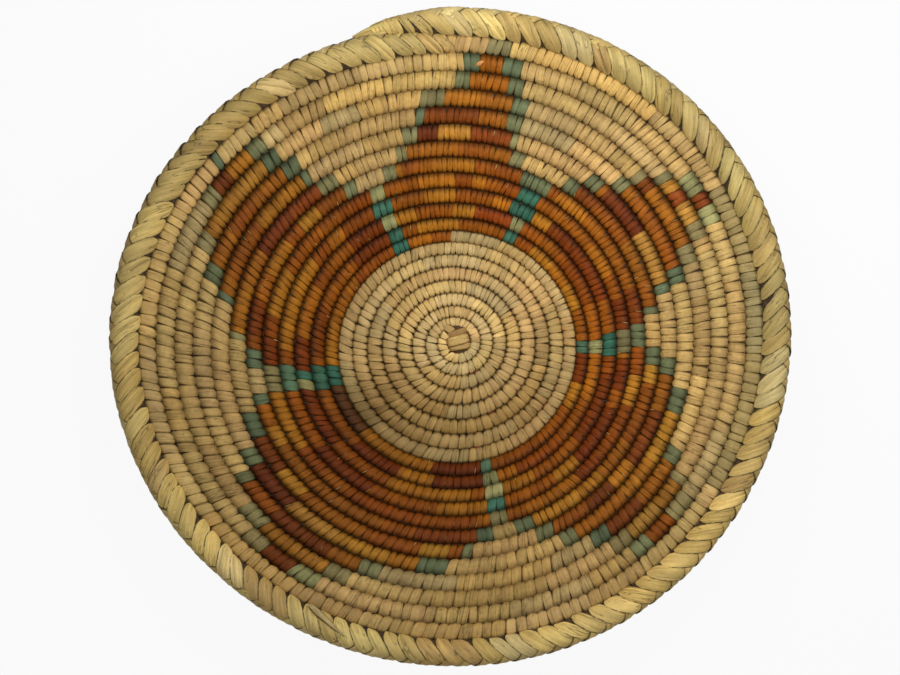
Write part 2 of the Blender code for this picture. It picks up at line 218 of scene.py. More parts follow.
@dataclass(frozen=True)
class CoilPath:
    """The spiral that the grass follows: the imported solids' sizes, and each row's small drift."""

    knot_reach: float = 10.4 * MM
    gap: float = 0.5 * MM
    height_share: float = 0.95
    flat_cut_share: float = 0.2
    first_turn: float = 1.0
    star_turn: float = 8 + 6 / 24
    petal_turn: float = 13 + 7 / 24
    border_turn: float = 19 + 6 / 24
    braid_turn: float = 20 + 6 / 24
    braid_end_turn: float = 21.28
    tail_tip_turn: float = 21.298
    width_turns: tuple[float, ...] = (
        1.0, 3.4, 8.0, 10.0, 13.5, 16.0, 20 + 6 / 24, 20 + 7 / 24, 21 + 6 / 24, 21.28, 21.298)
    widths: tuple[float, ...] = tuple(
        width * MM for width in (5.9, 7.8, 7.8, 8.8, 8.8, 9.5, 9.5, 12.6, 12.6, 7.6, 2.4))
    flat_radius: float = 54.0 * MM
    bend_length: float = 16.0 * MM
    wall_angle: float = math.radians(34.0)
    rim_angle: float = math.radians(24.5)
    drift_turns: tuple[float, ...] = (1.0, 8.25, 9.5, 13.0, 17.0, 21.28)
    drift_x: tuple[float, ...] = tuple(
        drift * MM for drift in (0.0, -1.3, -1.7, -2.9, -3.8, -4.2))
    drift_y: tuple[float, ...] = tuple(
        drift * MM for drift in (0.0, -3.8, -4.4, -3.2, -1.8, 0.1))
    oval_share: float = 0.024
    lobe_share: float = 0.0064
    lobe_angle: float = math.radians(47.0)
    chart_floor: tuple[float, float] = (0.85 * MM, -1.3 * MM)
    chart_rim: tuple[float, float] = (2.0 * MM, -3.6 * MM)
    chart_height: float = 60.0 * MM

    def width(self, turn: float) -> float:
        """Return the step from row to row along the profile at this turn."""
        return float(np.interp(turn, self.width_turns, self.widths))

    def length(self, turn: float) -> float:
        """Measure how far the coil's middle is from the knot's middle, along the profile.

        Args:
            turn: Place along the coil.

        Returns:
            The distance.
        """
        if turn > self.braid_turn:
            return self.length(turn - 1) + (self.width(turn - 1) + self.width(turn)) / 2
        total = self.knot_reach + min(turn - self.first_turn, 0.0) * self.widths[0]
        stations = [station for station in self.width_turns if station <= self.braid_turn]
        for low, high in zip(stations, stations[1:]):
            top = min(turn, high)
            if top > low:
                total += (top - low) * (self.width(low) + self.width(top)) / 2
        return total

    def profile(self, length: float) -> tuple[float, float, float]:
        """Return the radius, height and slope of the profile at a distance along it.

        Args:
            length: Distance along the profile from the bowl's axis.

        Returns:
            Radius, height and slope there, by arcs of even bend.
        """
        lengths = (0.0, self.flat_radius, self.flat_radius + self.bend_length,
                   self.length(self.braid_turn))
        slopes = (0.0, 0.0, self.wall_angle, self.rim_angle)
        radius, height, slope = 0.0, 0.0, 0.0
        for index, (low, high) in enumerate(zip(lengths, lengths[1:])):
            if length <= low:
                break
            last = index == len(lengths) - 2
            run = (length if last else min(length, high)) - low
            start = slopes[index]
            bend = (slopes[index + 1] - start) / (high - low)
            slope = start + bend * run
            if bend:
                radius += (math.sin(slope) - math.sin(start)) / bend
                height += (math.cos(start) - math.cos(slope)) / bend
            else:
                radius += run * math.cos(start)
                height += run * math.sin(start)
        return radius, height, slope

    def spine(self, turn: float) -> np.ndarray:
        """Find the coil's middle.

        Args:
            turn: Place along the coil.

        Returns:
            The middle's place, before the coil's own height above the floor is added.
        """
        radius, height, _ = self.profile(self.length(turn))
        angle = math.tau * turn
        share = (turn - self.star_turn) / (self.braid_end_turn - self.star_turn)
        share = min(max(share, 0.0), 1.0)
        oval = self.oval_share * math.cos(2 * angle)
        lobes = self.lobe_share * math.cos(3 * (angle - self.lobe_angle))
        reach = radius * (1 + oval + share * lobes)
        across, away = (np.interp(turn, self.drift_turns, drifts)
                        for drifts in (self.drift_x, self.drift_y))
        return np.array((across + reach * math.cos(angle), away + reach * math.sin(angle), height))

    def radius(self, turn: float) -> float:
        """Find the coil's radius.

        Args:
            turn: Place along the coil.

        Returns:
            Half the coil's thickness, less its half of the gap between rows.
        """
        fits = [1.0] if turn < self.first_turn else []
        for inner in (turn - 1, turn):
            if inner >= self.first_turn and inner + 1 <= self.tail_tip_turn:
                step = np.linalg.norm(self.spine(inner + 1) - self.spine(inner))
                fits.append(step / (self.length(inner + 1) - self.length(inner)))
        return (self.width(turn) * min(fits) - self.gap) / 2

    def section(self, turn: float) -> Section:
        """Find the coil's whole section.

        Args:
            turn: Place along the coil.

        Returns:
            The section.
        """
        radius = self.radius(turn)
        angle = math.tau * turn
        reach, _, slope = self.profile(self.length(turn))
        radial = np.array((math.cos(angle), math.sin(angle), 0.0))
        up = np.array((0.0, 0.0, 1.0))
        outward = radial * math.cos(slope) + up * math.sin(slope)
        normal = up * math.cos(slope) - radial * math.sin(slope)
        along = np.array((-math.sin(angle), math.cos(angle), 0.0))
        middle = self.spine(turn) + up * radius * (self.height_share - self.flat_cut_share)
        return Section(middle, along, outward, normal, radial / reach, radius)

    def advance(self, turn: float, distance: float) -> float:
        """Return the turn that lies a distance further along the coil."""
        return turn + distance / (math.tau * self.profile(self.length(turn))[0])

    def charted(self, turn: float) -> float:
        """Return the turn as counted round the stitch chart's centre.

        Args:
            turn: Place along the coil, as a turn round the bowl's own centre.

        Returns:
            The turn round the chart's centre, which moves a little with the height.
        """
        x, y, height = self.spine(turn)
        centre = [low + (high - low) * height / self.chart_height
                  for low, high in zip(self.chart_floor, self.chart_rim)]
        swing = math.atan2(y - centre[1], x - centre[0]) - math.tau * turn
        return turn + ((swing + math.pi) % math.tau - math.pi) / math.tau


class Wiring:
    """Adds nodes to a node tree and joins them up."""

    def __init__(self, tree: bpy.types.NodeTree) -> None:
        """Keep the tree that the nodes go into."""
        self.tree = tree

    def feed(self, node: bpy.types.Node, inputs: dict) -> None:
        """Give a node its inputs.

        Args:
            node: The node.
            inputs: Value or source socket for each input, by name or by place.
        """
        for key, value in inputs.items():
            if isinstance(value, Socket):
                self.tree.links.new(value, node.inputs[key])
            else:
                node.inputs[key].default_value = value

    def add(self, kind: str, inputs: dict | None = None, **settings: object) -> bpy.types.Node:
        """Add one node.

        Args:
            kind: The node's type.
            inputs: Value or source socket for each input, by name or by place.
            settings: The node's own properties.

        Returns:
            The new node.
        """
        node = self.tree.nodes.new(kind)
        for name, value in settings.items():
            setattr(node, name, value)
        self.feed(node, inputs or {})
        return node

    def first(self, kind: str, inputs: dict | None = None, **settings: object) -> Socket:
        """Add one node and return its first output."""
        return self.add(kind, inputs, **settings).outputs[0]

    def math(self, operation: str, *values: float | Socket) -> Socket:
        """Add a Math node on the values and return its result."""
        return self.first("ShaderNodeMath", dict(enumerate(values)), operation=operation)

    def vector(self, operation: str, *values: Sequence[float] | Socket) -> Socket:
        """Add a Vector Math node and return its vector, or its value for a dot product."""
        node = self.add("ShaderNodeVectorMath", dict(enumerate(values)), operation=operation)
        return node.outputs["Value" if operation == "DOT_PRODUCT" else "Vector"]

    def scaled(self, vector: Socket, factor: float | Socket) -> Socket:
        """Return the vector times the factor."""
        inputs = {"Vector": vector, "Scale": factor}
        return self.first("ShaderNodeVectorMath", inputs, operation="SCALE")

    def point(self, x: float | Socket, y: float | Socket, z: float | Socket = 0.0) -> Socket:
        """Return the vector that three values make."""
        return self.first("ShaderNodeCombineXYZ", {0: x, 1: y, 2: z})

    def parts(self, vector: Socket) -> Sequence[Socket]:
        """Return the three values of a vector."""
        return self.add("ShaderNodeSeparateXYZ", {0: vector}).outputs

    def ranged(self, value: Socket, start: float | Socket, end: float | Socket,
               low: float = 0.0, high: float | Socket = 1.0, **settings: object) -> Socket:
        """Turn a value into another that stays within limits.

        Args:
            value: The value.
            start: Where the result is low.
            end: Where the result is high.
            low: The result before the start.
            high: The result after the end.
            settings: The Map Range node's own properties.

        Returns:
            The result.
        """
        inputs = {"Value": value, 1: start, 2: end, 3: low, 4: high}
        return self.first("ShaderNodeMapRange", inputs, **settings)

    def attribute(self, name: str, kind: str = "FLOAT_VECTOR") -> Socket:
        """Return a named attribute of the points, in a geometry tree."""
        return self.first("GeometryNodeInputNamedAttribute", {"Name": name}, data_type=kind)


def new_tree(name: str, kind: str, inputs: dict[str, str],
             outputs: dict[str, str]) -> tuple[Wiring, dict, dict]:
    """Make an empty node group with named sockets.

    Args:
        name: The group's name.
        kind: The type of node tree.
        inputs: Type of each input, by name, such as Float.
        outputs: Type of each output, by name.

    Returns:
        The wiring, the sockets that bring the inputs in, and the sockets that take the outputs.
    """
    tree = bpy.data.node_groups.new(name, kind)
    for direction, sockets in (("INPUT", inputs), ("OUTPUT", outputs)):
        for label, held in sockets.items():
            tree.interface.new_socket(label, in_out=direction, socket_type="NodeSocket" + held)
    source = tree.nodes.new("NodeGroupInput").outputs
    sink = tree.nodes.new("NodeGroupOutput").inputs
    return (Wiring(tree), {label: source[label] for label in inputs},
            {label: sink[label] for label in outputs})


@dataclass
class StitchTree:
    """The geometry tree that lays one stitch on each point and bends it to the coil's round."""

    name: str = "sewn_stitches"
    tree: bpy.types.NodeTree = field(init=False)

    def __post_init__(self) -> None:
        """Build the tree."""
        inputs = {
            "Geometry": "Geometry", "Stitches": "Collection", "Swell spread": "Float",
            "Turn spread": "Float", "Pressed depth": "Float", "Pressed share": "Float",
            "Seed": "Int", "Material": "Material",
        }
        wiring, source, sink = new_tree(self.name, "GeometryNodeTree", inputs,
                                        {"Geometry": "Geometry"})
        self.tree = wiring.tree
        placed = self.placed(wiring, source)
        loose = wiring.first("GeometryNodeRealizeInstances", {"Geometry": placed})
        bent = self.bent(wiring, loose, source["Pressed depth"], source["Pressed share"])
        dressed = {"Geometry": bent, "Material": source["Material"]}
        wiring.tree.links.new(wiring.first("GeometryNodeSetMaterial", dressed), sink["Geometry"])

    @staticmethod
    def placed(wiring: Wiring, source: dict[str, Socket]) -> Socket:
        """Put a stitch on each point, turned and sized by the point's attributes.

        Args:
            wiring: The tree's wiring.
            source: The tree's inputs.

        Returns:
            The instances.
        """
        def scattered(low: float | Socket, high: float | Socket, shift: int) -> Socket:
            """Draw a random value for each point.

            Args:
                low: The least value.
                high: The greatest value.
                shift: What the seed is raised by.

            Returns:
                A value for each point.
            """
            seed = wiring.first("FunctionNodeIntegerMath", {0: source["Seed"], 1: shift},
                                operation="ADD")
            inputs = {2: low, 3: high, "Seed": seed}
            return wiring.add("FunctionNodeRandomValue", inputs, data_type="FLOAT").outputs[1]

        store = {"Geometry": source["Geometry"], "Name": "origin",
                 "Value": wiring.first("GeometryNodeInputPosition")}
        points = wiring.first("GeometryNodeStoreNamedAttribute", store,
                              data_type="FLOAT_VECTOR", domain="POINT")
        axes = {0: wiring.attribute("outward"), 1: wiring.attribute("along")}
        square = wiring.first("FunctionNodeAxesToRotation", axes,
                              primary_axis="X", secondary_axis="Y")
        backward = wiring.math("MULTIPLY", source["Turn spread"], -1.0)
        swivel = {"Axis": (0.0, 0.0, 1.0), "Angle": scattered(backward, source["Turn spread"], 1)}
        turns = {0: square, 1: wiring.first("FunctionNodeAxisAngleToRotation", swivel)}
        turned = wiring.first("FunctionNodeRotateRotation", turns, rotation_space="LOCAL")
        least = wiring.math("SUBTRACT", 1.0, source["Swell spread"])
        swell = scattered(least, wiring.math("ADD", 1.0, source["Swell spread"]), 2)
        grown = wiring.point(swell, 1.0, swell)
        kinds = {"Collection": source["Stitches"], "Separate Children": True,
                 "Reset Children": True}
        inputs = {
            "Points": points,
            "Instance": wiring.first("GeometryNodeCollectionInfo", kinds),
            "Pick Instance": True,
            "Instance Index": wiring.attribute("kind", "INT"),
            "Rotation": turned,
            "Scale": wiring.vector("MULTIPLY", wiring.attribute("size"), grown),
        }
        laid = wiring.first("GeometryNodeInstanceOnPoints", inputs)
        mark = {"Geometry": laid, "Name": "strip_seed", "Value": scattered(0.0, 1.0, 3)}
        return wiring.first("GeometryNodeStoreNamedAttribute", mark,
                            data_type="FLOAT", domain="INSTANCE")

    @staticmethod
    def bent(wiring: Wiring, loose: Socket, depth: Socket, share: Socket) -> Socket:
        """Lean each stitch, bend it to the coil's round, and press it flat on the table.

        Args:
            wiring: The tree's wiring.
            loose: The stitches as a mesh.
            depth: How far the round stitches would reach below the table.
            share: Share of that depth that stays, so that no two sides fall together.

        Returns:
            The bent stitches.
        """
        place = wiring.first("GeometryNodeInputPosition")
        offset = wiring.vector("SUBTRACT", place, wiring.attribute("origin"))
        along = wiring.attribute("along")
        bend = wiring.attribute("bend")
        forward = wiring.vector("DOT_PRODUCT", offset, along)
        spread = wiring.math("MULTIPLY", forward, wiring.vector("DOT_PRODUCT", offset, bend))
        outward = wiring.vector("DOT_PRODUCT", offset, wiring.attribute("outward"))
        lean = wiring.math("MULTIPLY", outward, wiring.attribute("lean", "FLOAT"))
        slide = wiring.scaled(along, wiring.math("ADD", spread, lean))
        squared = wiring.math("MULTIPLY", forward, forward)
        fall = wiring.scaled(bend, wiring.math("MULTIPLY", squared, -0.5))
        moved = wiring.vector("ADD", place, wiring.vector("ADD", slide, fall))
        x, y, z = wiring.parts(moved)
        pressed = wiring.math("MULTIPLY", wiring.math("ADD", z, depth), share)
        height = wiring.math("MAXIMUM", z, wiring.math("MAXIMUM", pressed, 0.0))
        kept = {"Geometry": loose, "Position": wiring.point(x, y, height)}
        return wiring.first("GeometryNodeSetPosition", kept)


@dataclass
class FoundationTree:
    """The geometry tree that sweeps the grass bundle's section along the coil."""

    name: str = "swept_bundle"
    tree: bpy.types.NodeTree = field(init=False)

    def __post_init__(self) -> None:
        """Build the tree."""
        inputs = {
            "Geometry": "Geometry", "Sides": "Int", "Breadth": "Float", "Depth": "Float",
            "Floor": "Float", "Material": "Material",
        }
        wiring, source, sink = new_tree(self.name, "GeometryNodeTree", inputs,
                                        {"Geometry": "Geometry"})
        self.tree = wiring.tree
        line = wiring.first("GeometryNodeMeshToCurve", {"Mesh": source["Geometry"]})
        facing = {"Curve": line, "Normal": wiring.attribute("normal")}
        circle = {"Resolution": source["Sides"], "Radius": 1.0}
        oval = {"Geometry": wiring.first("GeometryNodeCurvePrimitiveCircle", circle),
                "Scale": wiring.point(source["Depth"], source["Breadth"], 1.0)}
        sweep = {
            "Curve": wiring.first("GeometryNodeSetCurveNormal", facing, mode="FREE"),
            "Profile Curve": wiring.first("GeometryNodeTransform", oval),
            "Scale": wiring.attribute("thickness", "FLOAT"),
            "Fill Caps": True,
        }
        tube = wiring.first("GeometryNodeCurveToMesh", sweep)
        x, y, z = wiring.parts(wiring.first("GeometryNodeInputPosition"))
        height = wiring.math("MAXIMUM", z, source["Floor"])
        flat = wiring.first("GeometryNodeSetPosition",
                            {"Geometry": tube, "Position": wiring.point(x, y, height)})
        solid = wiring.first("GeometryNodeRealizeInstances", {"Geometry": flat})
        dressed = {"Geometry": solid, "Material": source["Material"]}
        wiring.tree.links.new(wiring.first("GeometryNodeSetMaterial", dressed), sink["Geometry"])


def linked(name: str, mesh: bpy.types.Mesh) -> bpy.types.Object:
    """Make an object of a mesh.

    Args:
        name: The object's name.
        mesh: The mesh.

    Returns:
        The object, in the scene.
    """
    made = bpy.data.objects.new(name, mesh)
    bpy.context.scene.collection.objects.link(made)
    return made


def grown_by_tree(name: str, mesh: bpy.types.Mesh, tree: bpy.types.NodeTree,
                  values: dict) -> bpy.types.Object:
    """Run a geometry tree on a mesh and keep the result as a plain mesh object.

    Args:
        name: Name of the finished piece.
        mesh: The points or the line that the tree starts from.
        tree: The geometry tree.
        values: Value of each of the tree's inputs, by name.

    Returns:
        The finished piece, with no modifier on it.
    """
    made = linked(name, mesh)
    modifier = made.modifiers.new("growth", "NODES")
    modifier.node_group = tree
    keys = {item.name: item.identifier for item in tree.interface.items_tree
            if item.item_type == "SOCKET" and item.in_out == "INPUT"}
    for label, value in values.items():
        modifier[keys[label]] = value
    graph = bpy.context.evaluated_depsgraph_get()
    grown = bpy.data.meshes.new_from_object(
        made.evaluated_get(graph), preserve_all_data_layers=True, depsgraph=graph)
    made.modifiers.remove(modifier)
    made.data = grown
    grown.name = name
    for spare in SPARE_ATTRIBUTES:
        if spare in grown.attributes:
            grown.attributes.remove(grown.attributes[spare])
    return made


def set_attribute(mesh: bpy.types.Mesh, name: str, kind: str, values: Iterable) -> None:
    """Store one value for each point of a mesh under a name.

    Args:
        mesh: The mesh.
        name: The attribute's name.
        kind: The attribute's type.
        values: One value for each point.
    """
    flat = np.array(list(values), dtype=np.int32 if kind == "INT" else np.float32).ravel()
    slot = {"FLOAT_VECTOR": "vector", "FLOAT_COLOR": "color"}.get(kind, "value")
    mesh.attributes.new(name, kind, "POINT").data.foreach_set(slot, flat)


@dataclass(frozen=True)
class LeafFinish:
    """The finish of dried leaf: fibres, the dye's unevenness, painted shade, seam dirt, and how it
    shines.

    The colour of each strip comes from the mesh, because every strip was picked and dyed by itself.
    """

    name: str
    fibres: float = 15.0
    contrast: float = 0.26
    fibre_height: float = 0.10 * MM
    mottle: float = 0.22
    # Painted shade in the gaps along a strip's long edges; edge_fade weakens it beyond the top
    edge_gap_shade: float = 0.55
    edge_fade: float = 0.5
    # Dirt and painted shade deep in the seams on the row's inner and outer side
    inner_dirt_and_shade: float = 0.0
    outer_dirt_and_shade: float = 0.0
    seam_reach: float = 1.0
    roughness: float = 0.56
    roughness_swing: float = 0.16
    specular: float = 0.2


@dataclass(frozen=True)
class GrassFinish:
    """The finish of the grass bundle: dark and light stems, and how they shine."""

    name: str = "dry_grass"
    stems: float = 700.0
    detail: float = 3.0
    dark_until: float = 0.35
    dark: Colour = linear(30, 19, 9)
    light_from: float = 0.7
    light: Colour = linear(88, 62, 30)
    stem_height: float = 0.3 * MM
    roughness: float = 0.85


def new_material(name: str) -> tuple[bpy.types.Material, Wiring, bpy.types.Node]:
    """Make a material with nodes.

    Args:
        name: The material's name.

    Returns:
        The material, its wiring and its Principled BSDF.
    """
    made = bpy.data.materials.new(name)
    made.use_nodes = True
    return made, Wiring(made.node_tree), made.node_tree.nodes["Principled BSDF"]


class Finishes:
    """The shader groups that the materials share, and the materials."""

    def __init__(self) -> None:
        """Build the shared groups."""
        self.fibre = self.fibre_group()
        self.mottle = self.mottle_group()
        self.dirt_and_shade = self.dirt_and_shade_group()

    @staticmethod
    def fibre_group() -> bpy.types.NodeTree:
        """Build the group for the fine lines and cracks along a strip.

        Returns:
            The group.
        """
        crack_shuffles, crack_edges, crack_shade = (7.3, 17.9), (0.003, 0.014), 0.52
        seed_spread, fine_run, fine_roughness = 37.0, 2.2, 0.6
        broad_cells, split_cells = (4.5, 1.2), (2.6, 0.7)
        inputs = {"UV": "Vector", "Seed": "Float", "Fibres": "Float", "Contrast": "Float"}
        wiring, source, sink = new_tree("leaf_fibres", "ShaderNodeTree", inputs,
                                        {"Shade": "Float", "Height": "Float"})
        across, length, _ = wiring.parts(source["UV"])
        shifted = wiring.math("MULTIPLY", source["Seed"], seed_spread)

        def streaks(wide: float | Socket, long: float, detail: float,
                    roughness: float = 0.5) -> Socket:
            """Add noise that is drawn out along the strip.

            Args:
                wide: Cells across the strip.
                long: Cells along it.
                detail: The noise's detail.
                roughness: Its roughness.

            Returns:
                The noise.
            """
            place = wiring.point(wiring.math("MULTIPLY", across, wide),
                                 wiring.math("MULTIPLY", length, long), shifted)
            inputs = {"Vector": place, "Scale": 1.0, "Detail": detail, "Roughness": roughness}
            return wiring.first("ShaderNodeTexNoise", inputs)

        fine = streaks(source["Fibres"], fine_run, 3.0, fine_roughness)
        broad = streaks(*broad_cells, 1.0)
        split = streaks(*split_cells, 1.0)
        cracks = []
        for shuffle in crack_shuffles:
            chance = wiring.math("FRACT", wiring.math("MULTIPLY", source["Seed"], shuffle))
            level = wiring.math("MULTIPLY_ADD", chance, 0.5, 0.25)
            away = wiring.math("ABSOLUTE", wiring.math("SUBTRACT", split, level))
            cracks.append(wiring.ranged(away, *crack_edges))
        crack = wiring.math("MULTIPLY", *cracks)
        cracked = wiring.math("MULTIPLY_ADD", crack, 1 - crack_shade, crack_shade)
        shade = cracked
        for noise, strength in ((fine, 2.0), (broad, 2.2)):
            swing = wiring.math("MULTIPLY", wiring.math("SUBTRACT", noise, 0.5),
                                source["Contrast"])
            lines = wiring.math("MULTIPLY_ADD", swing, strength, 1.0)
            shade = wiring.math("MULTIPLY", shade, lines)
        wiring.tree.links.new(shade, sink["Shade"])
        wiring.tree.links.new(wiring.math("MULTIPLY", fine, crack), sink["Height"])
        return wiring.tree

    @staticmethod
    def mottle_group() -> bpy.types.NodeTree:
        """Build the group for a dye that took unevenly and has faded in places.

        Returns:
            The group.
        """
        scales, hue_swing, value_swing = ((90.0, 3.0), (480.0, 2.0)), 0.035, 2.0
        inputs = {"Colour": "Color", "Place": "Vector", "Amount": "Float"}
        wiring, source, sink = new_tree("uneven_dye", "ShaderNodeTree", inputs,
                                        {"Colour": "Color"})
        broad, small = (
            wiring.first("ShaderNodeTexNoise", {"Vector": source["Place"], "Scale": scale,
                                                "Detail": detail})
            for scale, detail in scales)
        both = wiring.math("SUBTRACT", wiring.math("ADD", broad, small), 1.0)
        swing = wiring.math("MULTIPLY", both, source["Amount"])
        tint = {"Hue": wiring.math("MULTIPLY_ADD", swing, hue_swing, 0.5),
                "Value": wiring.math("MULTIPLY_ADD", swing, value_swing, 1.0),
                "Color": source["Colour"]}
        wiring.tree.links.new(wiring.first("ShaderNodeHueSaturation", tint), sink["Colour"])
        return wiring.tree

    @staticmethod
    def dirt_and_shade_group() -> bpy.types.NodeTree:
        """Build the group that darkens a stitch: painted shade along its long edges, and dirt with
        painted shade deep in the seams.

        Returns:
            The group.
        """
        edge_start, faded_from, faded_to, most = 0.84, 0.34, 0.60, 0.9
        seed_spread, patch_run, patch_limits = 51.0, 9.0, (0.3, 0.7, 0.15)
        seams = (("Inner seam", 0.055, -0.15, 0.70), ("Outer seam", -0.02, 0.13, 0.335))
        inputs = {"UV": "Vector", "Seed": "Float", "Edges": "Float", "Inner seam": "Float",
                  "Outer seam": "Float", "Reach": "Float", "Fade": "Float"}
        wiring, source, sink = new_tree("leaf_dirt", "ShaderNodeTree", inputs,
                                        {"Shade": "Float"})
        across, length, _ = wiring.parts(source["UV"])
        away = wiring.math("ABSOLUTE", wiring.math("MULTIPLY_ADD", across, 2.0, -1.0))
        # Painted shade in the gaps along the long edges, in patches, weaker over the top
        near = wiring.ranged(away, edge_start, 1.0)
        side = wiring.math("GREATER_THAN", across, 0.5)
        place = wiring.point(wiring.math("MULTIPLY_ADD", source["Seed"], seed_spread, side),
                             wiring.math("MULTIPLY", length, patch_run))
        patchy = wiring.first("ShaderNodeTexNoise",
                              {"Vector": place, "Scale": 1.0, "Detail": 1.0})
        edge = wiring.math("MULTIPLY", near, wiring.ranged(patchy, *patch_limits))
        edge = wiring.math("MULTIPLY", edge, source["Edges"])
        least = wiring.math("SUBTRACT", 1.0, source["Fade"])
        faded = wiring.ranged(length, faded_from, faded_to, 1.0, least)
        shades = [wiring.math("MINIMUM", wiring.math("MULTIPLY", edge, faded), most)]
        # Dirt and painted shade in the seams, towards either end of the stitch's round
        corner = wiring.math("POWER", away, 3.0)
        for label, reach, span, darkest in seams:
            line = wiring.math("MULTIPLY_ADD", corner, reach, length)
            unmarked = wiring.math("MULTIPLY_ADD", source["Reach"], span, darkest)
            shades.append(wiring.ranged(line, unmarked, darkest, 0.0, source[label],
                                        interpolation_type="SMOOTHSTEP"))
        kept = 1.0
        for shade in shades:
            kept = wiring.math("MULTIPLY", wiring.math("SUBTRACT", 1.0, shade), kept)
        wiring.tree.links.new(kept, sink["Shade"])
        return wiring.tree

    def leaf(self, finish: LeafFinish) -> bpy.types.Material:
        """Make the material for leaf strips.

        Args:
            finish: The finish's values.

        Returns:
            The material, which reads the colour and seed that the mesh holds for each strip.
        """
        made, wiring, shader = new_material(finish.name)
        uv = wiring.first("ShaderNodeUVMap", uv_map="UVMap")
        colour = wiring.add("ShaderNodeAttribute", attribute_name="strip_colour").outputs["Color"]
        seed = wiring.add("ShaderNodeAttribute", attribute_name="strip_seed").outputs["Fac"]
        # Each strip's share of the seams' dirt and painted shade
        soil_and_shade = wiring.add("ShaderNodeAttribute", attribute_name="strip_dirt").outputs["Fac"]
        lines = {"UV": uv, "Seed": seed, "Fibres": finish.fibres, "Contrast": finish.contrast}
        grime_and_shade = {
            "UV": uv, "Seed": seed, "Edges": finish.edge_gap_shade,
            "Inner seam": wiring.math("MULTIPLY", soil_and_shade, finish.inner_dirt_and_shade),
            "Outer seam": wiring.math("MULTIPLY", soil_and_shade, finish.outer_dirt_and_shade),
            "Reach": finish.seam_reach, "Fade": finish.edge_fade,
        }
        dyed = {"Colour": colour, "Place": wiring.add("ShaderNodeTexCoord").outputs["Object"],
                "Amount": finish.mottle}
        fibre, dirt_and_shade, mottle = (
            wiring.add("ShaderNodeGroup", inputs, node_tree=group).outputs
            for group, inputs in ((self.fibre, lines), (self.dirt_and_shade, grime_and_shade), (self.mottle, dyed)))
        shade = wiring.math("MULTIPLY", fibre["Shade"], dirt_and_shade["Shade"])
        least = finish.roughness - finish.roughness_swing / 2
        bump = {"Height": fibre["Height"], "Strength": 1.0, "Distance": finish.fibre_height}
        wiring.feed(shader, {
            "Base Color": wiring.scaled(mottle["Colour"], shade),
            "Roughness": wiring.math("MULTIPLY_ADD", fibre["Height"], finish.roughness_swing,
                                     least),
            "Normal": wiring.first("ShaderNodeBump", bump),
            "Specular IOR Level": finish.specular,
        })
        return made

    @staticmethod
    def grass(finish: GrassFinish) -> bpy.types.Material:
        """Make the material for the grass bundle, which shows only between the strips.

        Args:
            finish: The finish's values.

        Returns:
            The material.
        """
        made, wiring, shader = new_material(finish.name)
        noise = wiring.first("ShaderNodeTexNoise", {
            "Vector": wiring.add("ShaderNodeTexCoord").outputs["Object"],
            "Scale": finish.stems, "Detail": finish.detail})
        ramp = wiring.add("ShaderNodeValToRGB", {"Fac": noise})
        stops = ((finish.dark_until, finish.dark), (finish.light_from, finish.light))
        for stop, (position, colour) in zip(ramp.color_ramp.elements, stops):
            stop.position = position
            stop.color = (*colour, 1.0)
        bump = {"Height": noise, "Strength": 1.0, "Distance": finish.stem_height}
        wiring.feed(shader, {"Base Color": ramp.outputs[0], "Roughness": finish.roughness,
                             "Normal": wiring.first("ShaderNodeBump", bump)})
        return made


class Shell:
    """A mesh in the making, whose UV map holds each face's place across a strip and along it."""

    def __init__(self) -> None:
        """Start with no points."""
        self.mesh = bmesh.new()
        self.layer = self.mesh.loops.layers.uv.new("UVMap")

    def ring(self, points: Iterable[Sequence[float]]) -> list[bmesh.types.BMVert]:
        """Add the points of one ring."""
        return [self.mesh.verts.new(point) for point in points]

    def band(self, low: list, high: list, shares: Sequence[float],
             spans: Sequence[float]) -> None:
        """Add a closed band of faces between two rings.

        Args:
            low: The ring that the band starts from.
            high: The ring that it ends at.
            shares: Place across the strip of each of a ring's points.
            spans: Place along the strip of the two rings.
        """
        for place, share in enumerate(shares):
            after = (place + 1) % len(shares)
            face = self.mesh.faces.new((low[place], low[after], high[after], high[place]))
            corners = ((share, spans[0]), (shares[after], spans[0]), (shares[after], spans[1]),
                       (share, spans[1]))
            for loop, corner in zip(face.loops, corners):
                loop[self.layer].uv = corner

    def closed(self, name: str) -> bpy.types.Mesh:
        """Turn all faces outwards and return the shell as a smooth mesh."""
        bmesh.ops.recalc_face_normals(self.mesh, faces=self.mesh.faces)
        return self.finished(name)

    def finished(self, name: str) -> bpy.types.Mesh:
        """Turn the shell into a smooth mesh, and let the shell go.

        Args:
            name: The mesh's name.

        Returns:
            The mesh.
        """
        made = bpy.data.meshes.new(name)
        self.mesh.to_mesh(made)
        self.mesh.free()
        made.shade_smooth()
        return made


